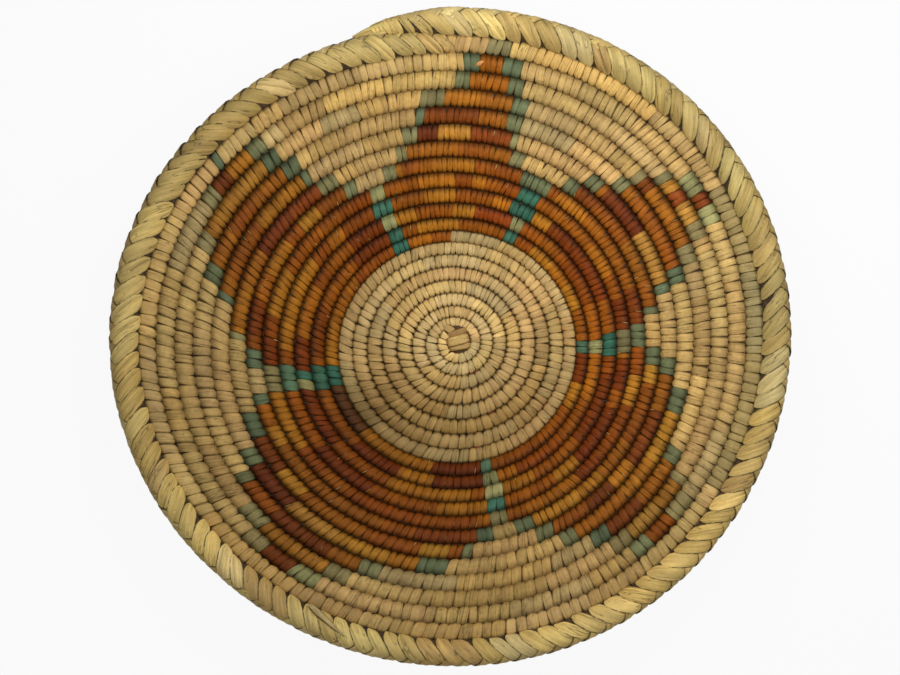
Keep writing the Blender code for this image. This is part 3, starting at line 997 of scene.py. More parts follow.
@dataclass(frozen=True)
class StitchShape:
    """The closed band of one leaf stitch, wrapped round a coil of radius one, one wide.

    X is outwards, Y along the coil and Z up. The coil is a little flattened and stands higher on
    its inner side, where the band swells into the rounded tooth that catches the row below.
    """

    bearings: tuple[int, ...] = (
        -30, -4, 18, 38, 60, 88, 112, 132, 148, 160, 172, 186, 205, 235, 268, 300)
    across: tuple[float, ...] = (-0.525, -0.465, 0.0, 0.465, 0.525)
    lifts: tuple[float, ...] = (-0.05, 0.0, 0.02, 0.0, -0.05)
    height: float = 0.95
    squareness: float = 2.5
    shingle: float = 0.14
    shingle_gain: float = 3.0
    tooth_angle: float = math.radians(166.0)
    tooth_spread: float = math.radians(20.0)
    tooth_reach: float = 0.20
    tooth_roundness: float = 1.9
    tooth_narrowing: float = 0.14
    splays: tuple[float, float] = (0.02, 0.02)
    splay_gain: float = 1.3
    splay_start: float = 0.1
    uv_start: int = -90

    def point(self, angle: float, across: float, lift: float) -> tuple[float, float, float]:
        """Return one point of the band.

        Args:
            angle: Bearing round the coil, from outwards over the top.
            across: Share of the band's width, from its middle.
            lift: Share of the coil's radius that the point stands proud.

        Returns:
            The point's place.
        """
        tooth = math.exp(-((angle - self.tooth_angle) / self.tooth_spread) ** 2)
        reach = tooth * self.tooth_reach * (1 - (self.tooth_roundness * across) ** 2)
        outward, up = math.cos(angle), math.sin(angle)
        opened = min(max(self.splay_gain * outward - self.splay_start, 0.0), 1.0)
        splay = self.splays[across > 0] * opened
        width = across * (1 - self.tooth_narrowing * tooth - splay)
        swell = abs(outward) ** self.squareness + abs(up) ** self.squareness
        swell = swell ** (-1 / self.squareness)
        swell = (swell if up > 0 else 1.0) * (1 + lift)
        slant = self.shingle * outward * min(max(self.shingle_gain * up, 0.0), 1.0)
        return (outward * swell - reach, width, self.height * up * swell - slant)

    def mesh(self, name: str) -> bpy.types.Mesh:
        """Make the band's mesh.

        Args:
            name: The mesh's name.

        Returns:
            The mesh, with a UV map across the strip and along it.
        """
        shell = Shell()
        rings = [shell.ring(self.point(math.radians(bearing), across, lift)
                            for across, lift in zip(self.across, self.lifts))
                 for bearing in self.bearings]
        shares = [across + 0.5 for across in self.across]
        bearings = self.bearings + (self.bearings[0] + FULL_CIRCLE,)
        turns = [(bearing - self.uv_start) / FULL_CIRCLE for bearing in bearings]
        for index, ring in enumerate(rings):
            shell.band(ring, rings[(index + 1) % len(rings)], shares, turns[index:index + 2])
        return shell.closed(name)


@dataclass(frozen=True)
class BraidStrip:
    """One flat strip of the braid, laid slantwise over a coil of radius one.

    X is outwards, Y along the coil and Z up.
    """

    start_angle: float
    end_angle: float
    advance: float
    width: float
    shares: tuple[float, ...] = (0.0, 0.1, 0.2, 0.3, 0.4, 0.5, 0.6, 0.7, 0.8, 0.9, 1.0)
    across: tuple[float, ...] = (-0.5, -0.3, 0.0, 0.3, 0.5)
    crown: float = 0.05
    tilt: float = 0.05
    thickness: float = 0.07
    tucks: tuple[float, float] = (0.10, 0.04)
    tip_shares: tuple[float, float] = (0.6, 0.15)
    height: float = 0.95
    sharp_angle: float = math.radians(50.0)
    sink: float = 0.0
    overhang: float = 0.0
    groove: float = 0.0
    groove_width: float = 0.06
    roundings: tuple[float, float] = (3.0, 3.0)

    def point(self, step: float, across: float, depth: float) -> tuple[float, float, float]:
        """Return one point of the strip.

        Args:
            step: Share of the strip's length.
            across: Share of its width, from its middle.
            depth: How far the point lies under the strip's face.

        Returns:
            The point's place.
        """
        end = abs(2 * step - 1)
        tip_share, tuck = (values[round(step)] for values in (self.tip_shares, self.tucks))
        width = self.width * (1 - (1 - tip_share) * end ** self.roundings[round(step)])
        sweep = self.end_angle - self.start_angle
        slope = math.hypot(sweep, self.advance)
        along = self.advance * (step - 0.5) - across * width * (sweep / slope)
        angle = self.start_angle + sweep * step + across * width * (self.advance / slope)
        lift = self.crown * (1 - (2 * across) ** 2) + self.tilt * across - tuck * end ** 3
        lift = lift - depth - self.sink
        lift -= self.groove * math.exp(-(across / self.groove_width) ** 2)
        inward = self.overhang * max(-math.cos(angle), 0.0) ** 3
        reach = 1 + lift
        return (math.cos(angle) * reach - inward, along, self.height * math.sin(angle) * reach)

    def mesh(self, name: str) -> bpy.types.Mesh:
        """Make the strip's mesh.

        Args:
            name: The mesh's name.

        Returns:
            The closed mesh, with a UV map across the strip and along it.
        """
        shell = Shell()
        section = [(share, 0.0) for share in self.across]
        section += [(share, self.thickness) for share in self.across[::-1]]
        rings = [shell.ring(self.point(step, share, depth) for share, depth in section)
                 for step in self.shares]
        shares = [share + 0.5 for share, _ in section]
        for low, high, spans in zip(rings, rings[1:], zip(self.shares, self.shares[1:])):
            shell.band(low, high, shares, spans)
        for ring in (rings[0], rings[-1]):
            for place in range(len(self.across) - 1):
                corners = (ring[place], ring[place + 1], ring[-2 - place], ring[-1 - place])
                for loop in shell.mesh.faces.new(corners).loops:
                    loop[shell.layer].uv = (0.5, 0.0)
        made = shell.closed(name)
        made.set_sharp_from_angle(angle=self.sharp_angle)
        return made


def shape_collection(name: str, meshes: Sequence[bpy.types.Mesh]) -> bpy.types.Collection:
    """Make a collection that holds one object for each mesh.

    Args:
        name: The collection's name.
        meshes: The meshes.

    Returns:
        The collection, whose objects come in order of name.
    """
    shapes = bpy.data.collections.new(name)
    for index, mesh in enumerate(meshes):
        shapes.objects.link(bpy.data.objects.new(f"{name}_{index:02d}", mesh))
    return shapes


def drop_collection(shapes: bpy.types.Collection) -> None:
    """Take away a collection and the objects in it.

    Args:
        shapes: The collection.
    """
    for shape in list(shapes.objects):
        bpy.data.objects.remove(shape, do_unlink=True)
    bpy.data.collections.remove(shapes)


@dataclass(frozen=True)
class Zone:
    """One stretch of the coil that is wrapped as one piece."""

    name: str
    node: str
    slot: str
    start: float
    end: float


class Strip(NamedTuple):
    """One stitch or braid strip in its place."""

    turn: float
    size: tuple[float, float, float]
    colour: Colour
    kind: int
    lean: float
    # Share of the seams' dirt and painted shade that the strip shows
    dirt_and_shade: float = 0.0


@dataclass
class StripPicker:
    """Picks each stitch's colour: a maker sews a few stitches with a strip, then takes another."""

    draw: random.Random
    dye: Dye = Dye.NATURAL
    left: int = 0
    tone: Colour = (0.0, 0.0, 0.0)
    lightest: float = 1.07
    warmth: float = 0.04
    flickers: tuple[float, float] = (0.87, 1.11)

    def colour(self, dye: Dye, shortest: int, longest: int, dimmest: float = 0.80) -> Colour:
        """Return the colour of the next stitch.

        Args:
            dye: The dye that the chart asks for.
            shortest: Fewest stitches from one strip.
            longest: Most stitches from one strip.
            dimmest: The least that a strip's light is kept.

        Returns:
            The colour, a little different from the last one of the same strip.
        """
        if dye is not self.dye or self.left <= 0:
            self.dye = dye
            self.left = self.draw.randint(shortest, longest)
            base = self.draw.choice(STRIPS[dye])
            light = self.draw.uniform(dimmest, self.lightest)
            warm = self.draw.uniform(-self.warmth, self.warmth)
            tints = (1 + warm, 1.0, 1 - warm)
            self.tone = tuple(channel * light * tint for channel, tint in zip(base, tints))
        self.left -= 1
        flicker = self.draw.uniform(*self.flickers)
        return tuple(channel * flicker for channel in self.tone)


class Fleck(NamedTuple):
    """A pale bit of leaf between rust stitches: its bearings, slant, width and height."""

    start: float
    end: float
    slant: float
    width: float
    proud: float


class Patch(NamedTuple):
    """A place where the leaf is darker, or lighter below 0, by painted light and shade and partly
    by soil: its middle and reach in mm.
    """

    x: float
    y: float
    reach: float
    depth: float


@dataclass
class Stitching:
    """The rows of leaf stitches from the knot to the braid."""

    path: CoilPath
    tree: StitchTree
    width_turns: tuple[float, ...] = (1.0, 3.0, 8.0, 13.0, 20.0)
    widths: tuple[float, ...] = tuple(width * MM for width in (2.9, 3.5, 4.3, 4.5, 5.2))
    width_spread: float = 0.24
    rust_share: float = 0.78
    lean_middle: float = -0.13
    lean_swing: float = 0.15
    lean_angle: float = math.radians(30.0)
    lean_drift: float = 0.08
    drift_kept: float = 0.8
    lean_spread: float = 0.06
    swell_spread: float = 0.025
    turn_spread: float = math.radians(3.5)
    pressed_depth: float = 1.5 * MM
    pressed_share: float = 0.15
    kind_weights: tuple[int, ...] = (5, 3, 3, 3, 5)
    fleck_share: float = 0.09
    fleck_widths: tuple[float, float] = (0.7, 1.3)
    flecks: tuple[Fleck, ...] = (
        Fleck(38.0, 84.0, 0.10, 0.08, 0.08), Fleck(104.0, 160.0, -0.08, 0.10, 0.12),
        Fleck(62.0, 92.0, -0.05, 0.06, 0.08))
    fleck_colour: Colour = linear(200, 156, 92)
    # Painted shade, darker towards the lower left and the bottom and partly soil there, and painted
    # light in the middle of the base
    patches: tuple[Patch, ...] = (
        Patch(-26.0, -42.0, 44.0, 0.30), Patch(-47.0, -35.0, 13.0, 0.35),
        Patch(-90.0, -60.0, 80.0, 0.10), Patch(-4.0, 8.0, 34.0, -0.20),
        Patch(-8.0, -8.0, 22.0, -0.22), Patch(28.0, -42.0, 36.0, 0.20),
        Patch(70.0, -125.0, 75.0, 0.10), Patch(0.0, 0.0, 66.0, -0.20))
    shade_and_soil_tint: Colour = (1.0, 1.12, 1.4)
    plain_runs: tuple[int, int, float] = (4, 10, 0.82)
    rusty_runs: tuple[int, int, float] = (3, 9, 0.88)
    ring_turns: tuple[float, float] = (12.5, 14.0)
    ring_tint: Colour = (0.94, 0.79, 0.56)
    # Painted light and shade on the rust by bearing: lighter at the right and top, darker on the
    # left and bottom
    rust_bearings: tuple[float, ...] = (0.0, 95.0, 115.0, 290.0, 320.0, 360.0)
    rust_painted_lights: tuple[float, ...] = (1.13, 1.13, 0.92, 0.90, 1.07, 1.13)
    tight_share: float = 0.17
    tight_angle: float = math.radians(70.0)

    def shapes(self) -> list[bpy.types.Mesh]:
        """Make the shapes that the rows are sewn with.

        Returns:
            A mesh for each kind of stitch, and last for each kind of fleck.
        """
        kinds = {
            "stitch_plain": StitchShape(),
            "stitch_split": StitchShape(
                across=(-0.525, -0.25, 0.03, 0.28, 0.525),
                lifts=(-0.05, 0.015, -0.04, 0.015, -0.05), splays=(0.08, 0.02)),
            "stitch_shared": StitchShape(
                across=(-0.525, -0.45, -0.1, 0.2, 0.525),
                lifts=(-0.06, 0.0, 0.02, -0.035, -0.04), splays=(0.02, 0.18)),
            "stitch_pointed": StitchShape(
                tooth_reach=0.28, tooth_narrowing=0.30, splays=(0.12, 0.08)),
            "stitch_over": StitchShape(
                across=(-0.54, -0.47, 0.0, 0.40, 0.50),
                lifts=(0.0, 0.035, 0.025, 0.0, -0.07), splays=(0.0, 0.12)),
        }
        for index, fleck in enumerate(self.flecks):
            kinds[f"fleck_{index}"] = BraidStrip(
                math.radians(fleck.start), math.radians(fleck.end), fleck.slant, fleck.width,
                shares=(0.0, 0.25, 0.5, 0.75, 1.0), across=(-0.5, 0.0, 0.5), crown=0.03,
                tilt=0.0, sink=-fleck.proud)
        return [kind.mesh(name) for name, kind in kinds.items()]

    def width(self, turn: float, draw: random.Random) -> float:
        """Find a stitch's width: rusty ones are narrower, and one side is sewn tighter.

        Args:
            turn: Where the stitch starts.
            draw: Source of chance.

        Returns:
            The width.
        """
        width = float(np.interp(turn, self.width_turns, self.widths))
        width *= 1 + draw.uniform(-self.width_spread, self.width_spread)
        width *= 1 - self.tight_share * math.cos(math.tau * turn - self.tight_angle)
        rusty = chart_dye(self.path.charted(turn)) in RUSTY
        return width * self.rust_share if rusty else width

    def strips(self, zone: Zone, draw: random.Random) -> list[Strip]:
        """Lay the stitches of a zone end to end along the coil.

        Args:
            zone: The stretch of the coil.
            draw: Source of chance.

        Returns:
            The stitches in order.
        """
        picker = StripPicker(draw)
        laid = []
        drift = 0.0
        turn = zone.start
        while turn < zone.end:
            width = self.width(turn, draw)
            after = self.path.advance(turn, width)
            middle = (turn + after) / 2
            radius = self.path.radius(min(middle, zone.end)) + self.path.gap / 2
            lean = self.lean_middle
            lean += self.lean_swing * math.cos(math.tau * middle - self.lean_angle)
            drift = self.drift_kept * drift + draw.uniform(-self.lean_drift, self.lean_drift)
            lean += drift + draw.uniform(-self.lean_spread, self.lean_spread)
            kind = draw.choices(range(len(self.kind_weights)), weights=self.kind_weights)[0]
            dye = chart_dye(self.path.charted(middle))
            rusty = dye in RUSTY
            colour = picker.colour(dye, *(self.rusty_runs if rusty else self.plain_runs))
            if rusty:
                colour = self.reddened_and_side_lit(colour, middle)
            laid.append(Strip(middle, (radius, width, radius), self.shaded_and_soiled(colour, middle), kind,
                              lean, SEAM_DIRT_AND_SHADE[dye]))
            if rusty and draw.random() < self.fleck_share:
                kind = len(self.kind_weights) + draw.randrange(len(self.flecks))
                size = (radius, self.widths[-1] * draw.uniform(*self.fleck_widths), radius)
                laid.append(Strip(after, size, self.fleck_colour, kind, lean))
            turn = after
        return laid

    def reddened_and_side_lit(self, colour: Colour, turn: float) -> Colour:
        """Fit a rusty colour to its place.

        Args:
            colour: The strip's colour.
            turn: Place along the coil.

        Returns:
            The colour, redder on the ring, and lighter or darker by bearing with painted light and
            shade.
        """
        light = float(np.interp(turn % 1 * FULL_CIRCLE, self.rust_bearings, self.rust_painted_lights))
        return tuple(channel * light * float(np.interp(turn, self.ring_turns, (tint, 1.0)))
                     for channel, tint in zip(colour, self.ring_tint))

    def shaded_and_soiled(self, colour: Colour, turn: float) -> Colour:
        """Paint light and shade, with some soil and wear, onto a strip's colour by its place.

        Args:
            colour: The strip's colour.
            turn: Place along the coil.

        Returns:
            The colour with the painted shade and soil, and the painted light.
        """
        spine = self.path.spine(turn)
        for patch in self.patches:
            away = (spine[0] - patch.x * MM) ** 2 + (spine[1] - patch.y * MM) ** 2
            near = math.exp(-away / (patch.reach * MM) ** 2)
            colour = tuple(channel * (1 - patch.depth * near * share)
                           for channel, share in zip(colour, self.shade_and_soil_tint))
        return colour

    def build(self, zones: Sequence[Zone], materials: dict[str, bpy.types.Material],
              other: bpy.types.Material) -> list[bpy.types.Object]:
        """Make the stitches of every zone.

        Args:
            zones: The stretches of the coil.
            materials: The leaf material of the slots that have their own.
            other: The leaf material of the other slots.

        Returns:
            One piece for each zone.
        """
        shapes = shape_collection("stitch_shapes", self.shapes())
        pieces = []
        for index, zone in enumerate(zones):
            strips = self.strips(zone, random.Random(SEED + index))
            values = {
                "Stitches": shapes, "Swell spread": self.swell_spread,
                "Turn spread": self.turn_spread, "Pressed depth": self.pressed_depth,
                "Pressed share": self.pressed_share, "Seed": SEED + index,
                "Material": materials.get(zone.slot, other),
            }
            mesh = strip_points(zone.name, self.path, strips)
            piece = grown_by_tree(zone.name, mesh, self.tree.tree, values)
            pieces.append(seated(piece, zone.slot, zone.node))
            LOG.info("%s: %d stitches", zone.name, len(strips))
        drop_collection(shapes)
        return pieces


def strip_points(name: str, path: CoilPath, strips: Sequence[Strip]) -> bpy.types.Mesh:
    """Make the mesh of points that the geometry tree lays strips on.

    Args:
        name: The mesh's name.
        path: The coil.
        strips: The strips in their places.

    Returns:
        A mesh of single points, with the attributes that the tree reads.
    """
    sections = [path.section(strip.turn) for strip in strips]
    mesh = bpy.data.meshes.new(name)
    mesh.from_pydata([section.middle for section in sections], [], [])
    for label in ("along", "outward", "bend"):
        set_attribute(mesh, label, "FLOAT_VECTOR",
                      (getattr(section, label) for section in sections))
    set_attribute(mesh, "size", "FLOAT_VECTOR", (strip.size for strip in strips))
    set_attribute(mesh, "lean", "FLOAT", (strip.lean for strip in strips))
    set_attribute(mesh, "kind", "INT", (strip.kind for strip in strips))
    set_attribute(mesh, "strip_colour", "FLOAT_COLOR",
                  ((*strip.colour, 1.0) for strip in strips))
    set_attribute(mesh, "strip_dirt", "FLOAT", (strip.dirt_and_shade for strip in strips))
    return mesh


def seated(piece: bpy.types.Object, slot: str, *nodes: str) -> bpy.types.Object:
    """Let a piece ride on the bowl and hide the solids that it stands for.

    Args:
        piece: The finished piece.
        slot: The record's material slot; not used.
        nodes: The solids that the piece replaces.

    Returns:
        The piece.
    """
    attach(piece, BODY)
    if nodes:
        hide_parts(*nodes)
    return piece


@dataclass
class Foundation:
    """The bundle of grass under the stitches, thinner and further in under the braid."""

    path: CoilPath
    steps_per_turn: int = 72
    sides: int = 12
    breadth: float = 1.04
    depth: float = 0.76
    braid_share: float = 0.95
    braid_shift: float = 0.20
    hidden_end: float = 0.001
    floor: float = 0.8 * MM

    def build(self, material: bpy.types.Material) -> bpy.types.Object:
        """Sweep the bundle along the coil, from the knot to the end of the braid.

        Args:
            material: The grass material.

        Returns:
            The finished piece.
        """
        last = self.path.braid_end_turn - self.hidden_end
        count = round((last - StartKnot.start_turn) * self.steps_per_turn)
        turns = np.linspace(StartKnot.start_turn, last, count + 1)
        sections = [self.path.section(float(turn)) for turn in turns]
        in_braid = [float(turn > self.path.braid_turn) for turn in turns]
        middles = [section.middle - section.outward * section.radius * self.braid_shift * inside
                   for section, inside in zip(sections, in_braid)]
        mesh = bpy.data.meshes.new("grass_bundle")
        mesh.from_pydata(middles, [(index, index + 1) for index in range(count)], [])
        set_attribute(mesh, "normal", "FLOAT_VECTOR", (section.normal for section in sections))
        shares = [self.braid_share if inside else 1.0 for inside in in_braid]
        set_attribute(mesh, "thickness", "FLOAT",
                      (share * (section.radius + self.path.gap / 2)
                       for share, section in zip(shares, sections)))
        values = {"Sides": self.sides, "Breadth": self.breadth, "Depth": self.depth,
                  "Floor": self.floor, "Material": material}
        piece = grown_by_tree("grass_bundle", mesh, FoundationTree().tree, values)
        LOG.info("grass_bundle: %d steps along the coil", count)
        return seated(piece, "dry_grass", "grass_core")


@dataclass
class RimBraid:
    """The false braid over the last row: strips slant over the top and back down outside."""

    path: CoilPath
    tree: StitchTree
    pitch: float = 9.8 * MM
    upper: BraidStrip = BraidStrip(
        math.radians(158.0), math.radians(-5.0), 2.7, 1.38, overhang=0.42, tilt=-0.09,
        tucks=(0.06, 0.22), tip_shares=(0.30, 0.85), roundings=(6.0, 3.0),
        shares=(0.0, 0.02, 0.05, 0.09, 0.14, 0.21, 0.3, 0.4, 0.5, 0.6, 0.7, 0.8, 0.9, 1.0))
    lower: BraidStrip = BraidStrip(
        math.radians(76.0), math.radians(-150.0), -2.8, 1.50, tilt=-0.09, tucks=(0.20, 0.10),
        tip_shares=(0.9, 0.7))
    start_share: float = 0.2
    lower_shift: float = 0.5
    close_turns: tuple[float, float] = (21.258, 21.276)
    close_share: float = 0.45
    bare_end: float = -0.007
    fresh_turns: tuple[float, float] = (21.2, 21.3)
    fresh_light: float = 1.12
    loose_turns: tuple[float, float] = (20.90, 21.13)
    full_radius: float = 6.05 * MM
    size_spread: float = 0.10
    lean_spread: float = 0.06
    swell_spread: float = 0.02
    turn_spread: float = math.radians(3.0)
    runs: tuple[int, int] = (1, 3)
    seed_shifts: tuple[int, int] = (60, 70)
    tight_weights: tuple[float, ...] = (7.0, 1.0, 2.0)
    loose_weights: tuple[float, ...] = (1.0, 3.0, 3.0)
    # Painted light and shade on the braid's strips, by bearing round the rim
    painted_light_bearings: tuple[float, ...] = (
        0.0, 30.0, 90.0, 165.0, 200.0, 270.0, 315.0, 345.0, 360.0)
    lights: tuple[float, ...] = (0.92, 0.78, 0.97, 0.82, 1.15, 1.28, 1.42, 1.05, 0.92)

    def shapes(self) -> dict[str, tuple[BraidStrip, ...]]:
        """Shape the strips: whole, narrow, and two worked as one.

        Returns:
            The kinds of each set, by the set's name.
        """
        narrow = replace(self.upper, width=1.12, crown=0.03, overhang=0.34)
        doubled = replace(self.upper, groove=0.12, overhang=0.46,
                          across=(-0.5, -0.3, -0.09, 0.0, 0.09, 0.3, 0.5))
        return {"braid_upper_strips": (self.upper, narrow, doubled),
                "braid_lower_strips": (self.lower,)}

    def strips(self, draw: random.Random, shift: float, kinds: int) -> list[Strip]:
        """Lay one set of strips along the braid, in step with the other set.

        Args:
            draw: Source of chance for this set.
            shift: Share of the pitch by which this set lies further along.
            kinds: How many kinds of strip there are.

        Returns:
            The strips in order.
        """
        picker = StripPicker(draw)
        pace = random.Random(SEED)
        laid = []
        turn = self.path.advance(self.path.braid_turn, self.pitch * (self.start_share + shift))
        while turn < self.path.braid_end_turn - self.bare_end:
            radius = self.path.radius(turn)
            colour = picker.colour(Dye.BRAID, *self.runs)
            if self.fresh_turns[0] < turn < self.fresh_turns[1]:
                colour = tuple(channel * self.fresh_light for channel in colour)
            stretch = 1 + draw.uniform(-self.size_spread, self.size_spread)
            thick = radius + self.path.gap / 2
            close = float(np.interp(turn, self.close_turns, (1.0, self.close_share)))
            size = (thick, radius * stretch * close, thick)
            loose = self.loose_turns[0] < turn < self.loose_turns[1]
            weights = (self.loose_weights if loose else self.tight_weights)[:kinds]
            kind = draw.choices(range(kinds), weights=weights)[0]
            # Painted light and shade by bearing
            light = float(np.interp(turn % 1 * FULL_CIRCLE, self.painted_light_bearings, self.lights))
            colour = tuple(channel * light for channel in colour)
            lean = draw.uniform(-self.lean_spread, self.lean_spread)
            laid.append(Strip(turn, size, colour, kind, lean))
            step = self.pitch * (1 + pace.uniform(-self.size_spread, self.size_spread))
            turn = self.path.advance(turn, step * close * radius / self.full_radius)
        return laid

    def build(self, material: bpy.types.Material) -> list[bpy.types.Object]:
        """Make the upper and the lower strips, one piece each.

        Args:
            material: The braid's leaf material.

        Returns:
            The two finished pieces.
        """
        pieces = []
        sets = zip(self.shapes().items(), (0.0, self.lower_shift), self.seed_shifts)
        for (name, kinds), shift, seed in sets:
            meshes = [shape.mesh(f"{name}_{index}") for index, shape in enumerate(kinds)]
            shapes = shape_collection(name + "_shapes", meshes)
            strips = self.strips(random.Random(SEED + seed), shift, len(kinds))
            values = {
                "Stitches": shapes, "Swell spread": self.swell_spread,
                "Turn spread": self.turn_spread, "Pressed depth": 0.0, "Pressed share": 0.0,
                "Seed": SEED + seed, "Material": material,
            }
            mesh = strip_points(name, self.path, strips)
            piece = grown_by_tree(name, mesh, self.tree.tree, values)
            drop_collection(shapes)
            pieces.append(seated(piece, "braid_leaf", "rim_braid"))
            LOG.info("%s: %d strips", name, len(strips))
        return pieces


def leaf_object(name: str, mesh: bpy.types.Mesh, colour: Colour, seed: float) -> bpy.types.Object:
    """Make an object whose mesh holds one colour and seed for the leaf material.

    Args:
        name: The object's name.
        mesh: The mesh.
        colour: The leaf's colour.
        seed: The leaf's seed.

    Returns:
        The object, in the scene.
    """
    count = len(mesh.vertices)
    set_attribute(mesh, "strip_colour", "FLOAT_COLOR", [(*colour, 1.0)] * count)
    set_attribute(mesh, "strip_seed", "FLOAT", [seed] * count)
    return linked(name, mesh)


# A ribbon's section: shares of its width and of its thickness
RIBBON_SECTION = ((-0.5, 0.0), (-0.3, 0.35), (0.0, 0.5), (0.3, 0.35), (0.5, 0.0), (0.3, -0.5),
                  (0.0, -0.5), (-0.3, -0.5))


def ribbon(name: str, line: Sequence[Sequence[float]], across: Sequence[Sequence[float]],
           widths: Sequence[float], thickness: float, colour: Colour) -> bpy.types.Object:
    """Make a flat leaf ribbon with rounded edges along a line.

    Args:
        name: The piece's name.
        line: Points of the ribbon's middle.
        across: Direction across the ribbon at each point.
        widths: Width at each point.
        thickness: The leaf's thickness.
        colour: The leaf's colour.

    Returns:
        The ribbon as a closed mesh object, with all that the leaf material reads.
    """
    shell = Shell()
    rings = []
    last = len(line) - 1
    for index, (point, side, width) in enumerate(zip(line, across, widths)):
        ahead = Vector(line[min(index + 1, last)]) - Vector(line[max(index - 1, 0)])
        side = Vector(side).normalized()
        up = side.cross(ahead).normalized()
        up = up if up.z > 0 else -up
        rings.append(shell.ring(Vector(point) + side * width * share + up * thickness * level
                                for share, level in RIBBON_SECTION))
    shares = [share + 0.5 for share, _ in RIBBON_SECTION]
    for index, (low, high) in enumerate(zip(rings, rings[1:])):
        shell.band(low, high, shares, (index / last, (index + 1) / last))
    shell.mesh.faces.new(rings[0])
    shell.mesh.faces.new(rings[-1])
    return leaf_object(name, shell.closed(name), colour, random.Random(name).random())


def joined(name: str, parts: Sequence[bpy.types.Object]) -> bpy.types.Object:
    """Join mesh objects that sit at the origin into one piece.

    Args:
        name: The piece's name.
        parts: The objects, which are used up.

    Returns:
        The joined piece.
    """
    with bpy.context.temp_override(active_object=parts[0], selected_editable_objects=list(parts)):
        bpy.ops.object.join()
    parts[0].name = name
    parts[0].data.name = name
    return parts[0]


class Fold(NamedTuple):
    """One flat strip folded over the wad: its middle and size in mm, and its turn in degrees."""

    x: float
    y: float
    level: float
    length: float
    width: float
    turn: float
    colour: Colour


@dataclass
class StartKnot:
    """The wad of folded leaf in the centre, and the flat strips folded over it."""

    path: CoilPath
    start_turn: float = 0.385
    height: float = 4.6 * MM
    overlap: float = 1.6 * MM
    grain: float = 8.0 * MM
    turn: float = math.radians(15.0)
    wad_colour: Colour = linear(84, 58, 30)
    wad_seed: float = 0.3
    wad_segments: tuple[int, int] = (48, 20)
    wad_fullness: tuple[float, float] = (0.7, 0.6)
    creases: int = 9
    crease_depth: float = 0.03
    layers: tuple[Fold, ...] = (
        Fold(-4.0, 7.3, 4.9, 6.2, 4.2, -48.0, linear(196, 160, 100)),
        Fold(0.3, 5.1, 5.2, 11.2, 3.8, 3.0, linear(172, 134, 80)),
        Fold(2.0, -2.2, 5.9, 11.2, 4.0, -5.0, linear(200, 164, 98)),
        Fold(0.9, 1.1, 6.8, 11.8, 5.6, 0.0, linear(214, 178, 108)))
    fold_steps: int = 9
    fold_drop: float = 1.6 * MM
    fold_taper: float = 0.12
    fold_thickness: float = 0.9 * MM

    def outline(self, angle: float) -> float:
        """Find how far the wad reaches: a little under the first round.

        Args:
            angle: Bearing from the bowl's axis.

        Returns:
            The reach.
        """
        turn = self.start_turn + (angle / math.tau - self.start_turn) % 1
        spine = self.path.spine(turn)
        return math.hypot(spine[0], spine[1]) - self.path.radius(turn) + self.overlap

    def wad(self, material: bpy.types.Material) -> bpy.types.Object:
        """Make the oval wad: a low cushion with creases that run out from its middle.

        Args:
            material: The leaf material.

        Returns:
            The finished piece.
        """
        shell = Shell()
        around, upward = self.wad_segments
        bmesh.ops.create_uvsphere(shell.mesh, u_segments=around, v_segments=upward, radius=1.0)
        for vert in shell.mesh.verts:
            x, y, z = vert.co
            angle, away = math.atan2(y, x), math.hypot(x, y)
            crease = 1 + self.crease_depth * math.sin(self.creases * angle + 2 * z) * away
            reach = self.outline(angle) * away ** self.wad_fullness[0]
            level = 0.5 + 0.5 * math.copysign(abs(z) ** self.wad_fullness[1], z)
            vert.co = (math.cos(angle) * reach, math.sin(angle) * reach,
                       self.height * level * crease)
        for face in shell.mesh.faces:
            for loop in face.loops:
                x, y, _ = loop.vert.co
                loop[shell.layer].uv = (y / self.grain + 0.5, x / self.grain + 0.5)
        mesh = shell.finished("knot_wad")
        mesh.materials.append(material)
        wad = leaf_object("knot_wad", mesh, self.wad_colour, self.wad_seed)
        return seated(wad, "knot_leaf", "start_knot")

    def folds(self, material: bpy.types.Material) -> bpy.types.Object:
        """Make the flat strips that are folded over the wad, one above the other.

        Args:
            material: The leaf material.

        Returns:
            The finished piece.
        """
        parts = []
        for index, fold in enumerate(self.layers):
            angle = self.turn + math.radians(fold.turn)
            ahead = Vector((math.cos(angle), math.sin(angle), 0.0))
            side = Vector((-math.sin(angle), math.cos(angle), 0.0))
            middle = Vector((fold.x, fold.y, fold.level)) * MM
            line, widths = [], []
            for step in range(self.fold_steps):
                share = 2 * step / (self.fold_steps - 1) - 1
                drop = Vector((0.0, 0.0, self.fold_drop * abs(share) ** 5))
                line.append(middle + ahead * share * fold.length * MM / 2 - drop)
                widths.append(fold.width * MM * (1 - self.fold_taper * share ** 4))
            parts.append(ribbon(f"fold_{index}", line, [side] * self.fold_steps, widths,
                                self.fold_thickness, fold.colour))
        folds = joined("knot_folds", parts)
        folds.data.materials.append(material)
        return seated(folds, "knot_leaf", "start_fold_strip")


